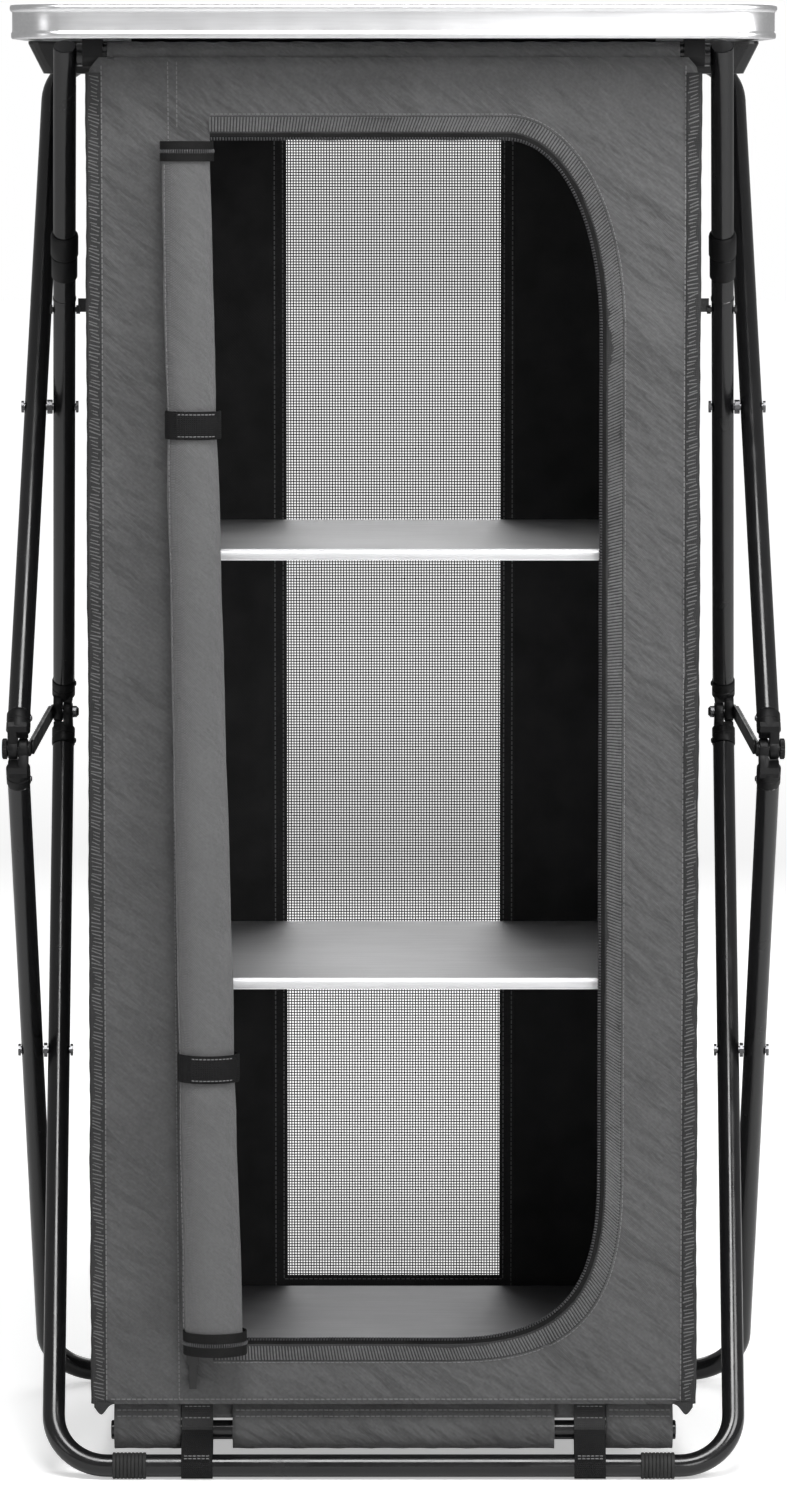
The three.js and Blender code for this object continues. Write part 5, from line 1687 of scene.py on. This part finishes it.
@dataclasses.dataclass
class Hems:
    """The cloth and webbing that tie the box to the rails and the rod.

    Attributes:
        lengths: The X places where each length of the hem starts and ends.
        turned_in: How much of the hem's width is turned in at its ends.
        strap_x: The X place of a strap's middle.
        strap_half: Half a strap's width.
        flap_half: Half the width of a rear flap.
        flap_tall: How far a rear flap reaches from its rail.
        sleeve_half: Half the length of the sleeve on the top front rail.
    """

    lengths: tuple[Pair, ...] = ((-223.5, -170.2), (-128.8, 128.8), (170.2, 223.5))
    turned_in: float = 12.0
    strap_x: float = 157.0
    strap_half: float = 12.5
    flap_half: float = 180.0
    flap_tall: float = 61.0
    sleeve_half: float = 224.5

    def build(self) -> None:
        """Makes the hem, the straps, the rear flaps, the sleeve and the loose corners."""
        self._hem()
        for side, name in SIDES:
            self._strap(side, name)
        self._flap("rear_base_flap", "rear_base", BASE_HALF, BASE_Z, 1)
        self._flap("rear_top_flap", "rear_upper", TOP_HALF, TOP_Z, -1)
        self._sleeve()
        self._tips()

    def _hem(self) -> None:
        """The hem round the rod, in three lengths with a gap for each strap."""
        shapes = []
        seams = Strip()
        for low, high in self.lengths:
            shapes.append(skin([[self._hem_point(x, share) for share in spaced(0, 1, 30)]
                                for x in spaced(low, high, max(10, round((high - low) / 5)))]))
            for share in (0.08, 0.14):
                line = [Vector(self._hem_point(x, share)) + Vector((0, -0.5, 0))
                        for x in spaced(low + 2, high - 2, 40)]
                seams.stitches(line, FRONTWARD)
        for side in (-1, 1):
            shapes.append(grid(spaced(side * 128.8, side * 170.2, 9), spaced(46.5, 59.4, 5),
                               lambda x, z: (x, HEM_ROD_Y - 4 * (59.4 - z) / 13, z)))
        hem = sheet_object("front_hem", joined(shapes), CLOTH)
        trim = seams.build("hem_stitches", THREAD, "cabinet")
        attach(hem, "cabinet")
        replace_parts(hem, "hem_front")
        wide = sum(high - low for low, high in self.lengths) + self.turned_in
        around = length([Vector(self._hem_point(0.0, share)) for share in spaced(0, 1, 30)])

    def _hem_point(self, x: float, share: float) -> Point:
        """A point of the hem.

        Args:
            x: The X place.
            share: How far along: down in front of the rod, round it and back up.

        Returns:
            The point.
        """
        radius = 8.5
        top = BOX_LOW - 0.6
        pucker = 0.7 * math.sin(x / 4.7 + 1.6 * math.sin(x / 31))
        if share < 0.3:
            rise = 1 - share / 0.3
            z = HEM_ROD_Z + (top - HEM_ROD_Z) * rise
            y = HEM_ROD_Y - radius - (pucker + 0.4) * math.sin(math.pi * rise) - 2.0 * rise * (1 - rise)
            y += (radius - 1.6) * rise ** 2
            return x, y, z
        if share < 0.72:
            turn = math.pi + math.pi * (share - 0.3) / 0.42
            reach = radius + 0.25 * abs(pucker)
            droop = 6.5 + 0.25 * pucker
            return x, HEM_ROD_Y + reach * math.cos(turn), HEM_ROD_Z + (reach + droop) * math.sin(turn)
        rise = (share - 0.72) / 0.28
        z = HEM_ROD_Z + (top - HEM_ROD_Z) * rise
        return x, HEM_ROD_Y + radius - (radius - 1.6) * rise ** 2, z

    def _belt(self, grow: float) -> list[Pair]:
        """The line of a belt round the front rail and the hem rod.

        Args:
            grow: How far outside the inner face of the belt the line runs.

        Returns:
            Points of Y place and height.
        """
        low, high = (-BASE_HALF, BASE_Z, 9.5 + grow), (HEM_ROD_Y, HEM_ROD_Z, 8.4 + grow)
        angle = math.atan2(high[1] - low[1], high[0] - low[0])
        distance = math.hypot(high[0] - low[0], high[1] - low[1])
        tilt = math.acos((low[2] - high[2]) / distance)
        line = []
        for (y, z, radius), turns in ((low, spaced(angle + tilt, angle + 2 * math.pi - tilt, 22)),
                                      (high, spaced(angle - tilt, angle + tilt, 14))):
            line += [(y + radius * math.cos(turn), z + radius * math.sin(turn)) for turn in turns]
        return line

    def _strap(self, side: int, name: str) -> None:
        """A webbing loop round the rail and the rod, with a sewn tab up to the box.

        Args:
            side: -1 on the left and 1 on the right.
            name: The side's name.
        """
        outer = self._belt(1.0)
        middle, half = side * self.strap_x, self.strap_half
        left, right = middle - half, middle + half
        loops = [[(left, y0, z0), (right, y0, z0), (right, y1, z1), (right - 0.9, y1, z1),
                  (left + 0.9, y1, z1), (left, y1, z1)]
                 for (y0, z0), (y1, z1) in zip(self._belt(0.0), outer)]
        belt = make_object(f"rail_strap_{name}", loft(loops, ringed=True), WEBBING)
        tab = loft([[(left, y - 0.9, z), (left, y, z), (right, y, z), (right, y - 0.9, z)]
                    for y, z in ((-191.4, 33.0), (-193.6, 38.0), (-193.4, 44.0), (-190.2, 52.0),
                                 (-187.0, 59.0))])
        seams = Strip()
        seam_y, seam_z = outer[4][0], outer[4][1] + 7
        for y, z in ((-193.1, 47.5), (-189.4, 56.0), (seam_y, seam_z), (seam_y, seam_z + 2.2)):
            seam = [Vector((left + 2, y, z)), Vector((right - 2, y, z))]
            seams.stitches(seam, FRONTWARD, 3.4, 0.9, 0.4)
        upper = make_object(f"strap_tab_{name}", tab, BINDING, "cabinet")
        sewn = seams.build(f"strap_stitches_{name}", THREAD, "cabinet")
        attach(belt, "cabinet")
        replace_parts(belt, f"strap_front_{name}")
        around = sum(math.dist(a, b) for a, b in zip(outer, [*outer[1:], outer[0]]))

    def _flap(self, node: str, body: str, y: float, z: float, way: int) -> None:
        """A cloth flap that goes round a rear rail and lies on the back of the box.

        Args:
            node: The CAD node that it replaces.
            body: The CAD body of its rail.
            y: The rail's Y place.
            z: The rail's height.
            way: 1 for a flap that goes up from its rail and -1 for one that goes down.
        """
        half = self.flap_half
        tab_y = BOX_BACK + 1.0
        end = z + way * self.flap_tall
        first = math.atan2(way * 0.45, 1.0)
        turns = spaced(first, first - way * 2 * math.pi * 0.93, 30)
        loops = []
        for x in spaced(-half, half, 74):
            wave = 0.5 * noise.noise(Vector((x / 15, z, 0))) + 0.3 * math.sin(x / 5.3)
            radius = TUBE + 0.8 + 0.2 * abs(wave)
            line = [(tab_y + 0.4 * wave * (1 - t), end + (z - end) * t) for t in spaced(0, 0.82, 10)]
            line += [(y + radius * math.cos(t), z + radius * math.sin(t)) for t in turns]
            loops.append([(x, min(py, tab_y + 9), pz) for py, pz in line])
        flap = sheet_object(f"{node}_cloth", skin(loops), CLOTH, 0.8)
        seams = Strip()
        for inset in (4.0, 8.0):
            height = end - way * inset
            seam = [Vector((x, tab_y + 0.75, height)) for x in spaced(-half + 3, half - 3, 60)]
            seams.stitches(seam, REARWARD)
        sewn = seams.build(f"{node}_stitches", THREAD, body)
        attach(flap, body)
        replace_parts(flap, node)

    def _sleeve(self) -> None:
        """The gathered cloth sleeve on the top front rail."""
        loops = []
        for x in spaced(-self.sleeve_half, self.sleeve_half, 190):
            gather = 0.45 * math.sin(x / 3.1 + 2 * math.sin(x / 23)) + 0.5
            loop = []
            for a in spaced(0, 2 * math.pi, 33)[:-1]:
                wave = 0.35 * noise.noise(Vector((x / 9, 2 * math.cos(a), 2 * math.sin(a))))
                reach = TUBE + 0.6 + 0.75 * gather + wave
                loop.append((x, -TOP_HALF + reach * math.cos(a), TOP_Z + reach * math.sin(a)))
            loops.append(loop)
        sleeve = sheet_object("rail_sleeve", loft(loops, capped=False), CLOTH, 0.5)
        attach(sleeve, "table")
        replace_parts(sleeve, "top_cloth_sleeve")

    def _tips(self) -> None:
        """The loose lower corners of the front cloth, which droop below the seam."""
        strip = Strip()
        for side in (-1, 1):
            loops = []
            for share in spaced(0, 1, 12):
                x = side * (BOX_HALF - 1 - 16 * share)
                y = BOX_FRONT - 0.2 - 1.0 * math.sin(4 * share)
                high = BOX_LOW + 1.5
                low = BOX_LOW + 0.4 - 8.5 * math.exp(-((share - 0.35) / 0.33) ** 2)
                loops.append([(x, y - 0.6, high), (x, y + 0.5, high), (x, y + 0.5, low),
                              (x, y - 0.6, low)])
            strip.add(loops)
        tips = strip.build("corner_tips", BINDING, "cabinet")


@dataclasses.dataclass
class Shelves:
    """The turned-down front edges of the two middle shelves.

    Attributes:
        reach: Half the length of an edge.
    """

    reach: float = 221.0

    def build(self) -> None:
        """Makes the edge of each shelf, as places behind one another and below its top."""
        section = ((-186.05, 1.6), (-186.5, 2.3), (-186.5, 7.2), (-186.05, 7.9), (-185.8, 7.9),
                   (-185.8, 1.6))
        for body, top in SHELF_TOPS.items():
            loops = [[(x, y, top - drop) for y, drop in section]
                     for x in spaced(-self.reach, self.reach, 60)]
            make_object(f"{body}_edge", loft(loops), SHELF, body)


@dataclasses.dataclass
class CarriedOver:
    """The hard CAD pieces that are shown as they are, with finishes and softened edges.

    Attributes:
        finishes: The finish for each start of a node's name; the first that fits is taken.
        sharp: The angle from which an edge is kept sharp.
        edge: The width of a softened edge.
    """

    finishes: tuple[tuple[str, Finish], ...] = (
        ("brace_", BAR), ("cross_pin_", RIVET), ("hinge_bolt_", RIVET), ("wing_bolt_", BLACKENED),
        ("rail_clip_", HINGE), ("rest_pad", HINGE), ("table_tray", TRAY),
        ("shelf_floor", SHADED_FLOOR_SHELF), ("shelf_", SHELF), ("zip_slider", BLACKENED),
    )
    sharp: float = math.radians(35)
    edge: float = 0.35

    def build(self) -> None:
        """Gives each shown CAD node its finish and rounds its edges."""
        for name, piece in frame["nodes"].items():
            finish = next((f for start, f in self.finishes if name.startswith(start)), POWDER)
            piece.data.materials.clear()
            piece.data.materials.append(material(finish))
            if piece.hide_render:
                continue
            for face in piece.data.polygons:
                face.use_smooth = True
            piece.data.set_sharp_from_angle(angle=self.sharp)
            bevel = piece.modifiers.new("soft_edges", "BEVEL")
            bevel.width = self.edge * MM
            bevel.segments = 2
            bevel.limit_method = "ANGLE"
            bevel.angle_limit = self.sharp


@dataclasses.dataclass
class Stage:
    """The white room that the cabinet stands in, and its camera.

    Attributes:
        width: The picture's width in pixels.
        height: The picture's height in pixels.
        lens: The camera's focal length in millimetres, for a sensor 36 mm high.
        eye: Where the camera stands, in metres.
        tilt: How far the camera looks down, in degrees.
        floor_half: Half the width of the floor, in metres.
        lights: Each light's name, place and width in metres, and power in watts.
    """

    width: int = 787
    height: int = 1500
    lens: float = 162.192
    eye: Point = (0.0, -5.521, 1.1044)
    tilt: float = 5.578
    floor_half: float = 30.0
    lights: tuple[tuple[str, Point, float, float], ...] = (
        ("key", (1.35, -1.25, 1.45), 0.9, 18.0),
        ("fill", (-2.8, -3.0, 1.3), 1.2, 6.0),
        ("front", (1.9, -6.8, 1.5), 2.2, 62.0),
        ("overhead", (0.0, -1.85, 3.0), 1.4, 68.0),
        ("rear", (0.3, 3.0, 2.2), 2.6, 36.0),
    )

    def build(self) -> None:
        """Makes the floor, the world, the lights and the camera."""
        self._floor()
        self._world()
        for light in self.lights:
            self._light(*light)
        self._camera()

    def _floor(self) -> None:
        """A white floor that keeps its shadows and glows to the camera, more so far out."""
        half = self.floor_half
        mesh = bpy.data.meshes.new("floor")
        mesh.from_pydata([(-half, -half, 0), (half, -half, 0), (half, half, 0), (-half, half, 0)],
                         [], [(0, 1, 2, 3)])
        white = bpy.data.materials.new("floor")
        white.use_nodes = True
        tree = white.node_tree
        shader = tree.nodes["Principled BSDF"]
        feed(shader, {"Base Color": (0.93, 0.93, 0.93, 1), "Roughness": 0.9})
        spot = add_node(tree, "NewGeometry", {})["Position"]
        reach = add_node(tree, "VectorMath", {0: spot}, "LENGTH")["Value"]
        ranged = add_node(tree, "MapRange", {"Value": reach, "From Min": 3.0, "From Max": 7.0,
                                             "To Min": 0.4, "To Max": 0.74})["Result"]
        glow = add_node(tree, "Emission", {"Strength": ranged})[0]
        added = add_node(tree, "AddShader", {0: shader.outputs[0], 1: glow})[0]
        seen = add_node(tree, "LightPath", {})["Is Camera Ray"]
        mixed = add_node(tree, "MixShader", {"Fac": seen, 1: shader.outputs[0], 2: added})[0]
        feed(tree.nodes["Material Output"], {"Surface": mixed})
        mesh.materials.append(white)
        floor = bpy.data.objects.new("floor", mesh)
        bpy.context.scene.collection.objects.link(floor)

    def _world(self) -> None:
        """A world that is white to the camera and lights the room softly."""
        world = bpy.data.worlds.new("white_room")
        bpy.context.scene.world = world
        world.use_nodes = True
        tree = world.node_tree
        white = (1, 1, 1, 1)
        lit = tree.nodes["Background"]
        feed(lit, {"Color": white, "Strength": 0.36})
        seen = add_node(tree, "Background", {"Color": white, "Strength": 1.0})[0]
        rays = add_node(tree, "LightPath", {})
        either = add_node(tree, "Math", {0: rays["Is Camera Ray"], 1: rays["Is Transmission Ray"]},
                          "MAXIMUM")[0]
        mixed = add_node(tree, "MixShader", {"Fac": either, 1: lit.outputs[0], 2: seen})[0]
        feed(tree.nodes["World Output"], {"Surface": mixed})

    def _light(self, name: str, place: Point, size: float, power: float) -> None:
        """A round soft light that faces the cabinet.

        Args:
            name: Its name.
            place: Where it stands, in metres.
            size: Its width in metres.
            power: Its power in watts.
        """
        data = bpy.data.lights.new(name, "AREA")
        data.energy = power
        data.shape = "DISK"
        data.size = size
        light = bpy.data.objects.new(name, data)
        light.location = place
        target = Vector((0, 0, 0.6))
        light.rotation_euler = (target - Vector(place)).to_track_quat("-Z", "Y").to_euler()
        bpy.context.scene.collection.objects.link(light)

    def _camera(self) -> None:
        """The camera that stands as the photo's did."""
        scene = bpy.context.scene
        data = bpy.data.cameras.new("camera")
        data.sensor_fit = "VERTICAL"
        data.sensor_height = 36.0
        data.lens = self.lens
        camera = bpy.data.objects.new("camera", data)
        camera.location = self.eye
        camera.rotation_euler = (math.radians(90 - self.tilt), 0.0, 0.0)
        scene.collection.objects.link(camera)
        scene.camera = camera
        scene.render.resolution_x = self.width
        scene.render.resolution_y = self.height
        scene.view_settings.view_transform = "Standard"


def main() -> None:
    """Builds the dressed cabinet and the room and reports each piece."""
    logging.basicConfig(level=logging.INFO)
    random.seed(7)
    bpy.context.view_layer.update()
    known = set(bpy.data.objects.keys())
    for part in (Frame(), Feet(), Knees(), Locks(), TableTop(), FrontCloth(), DoorRoll(), BoxCloth(),
                 Hems(), Shelves(), CarriedOver(), Stage()):
        part.build()
        log.info("%s built", type(part).__name__)
        for name in [name for name in bpy.data.objects.keys() if name not in known]:
            known.add(name)
            log.info("piece %s", name)


if __name__ == "__main__":
    main()
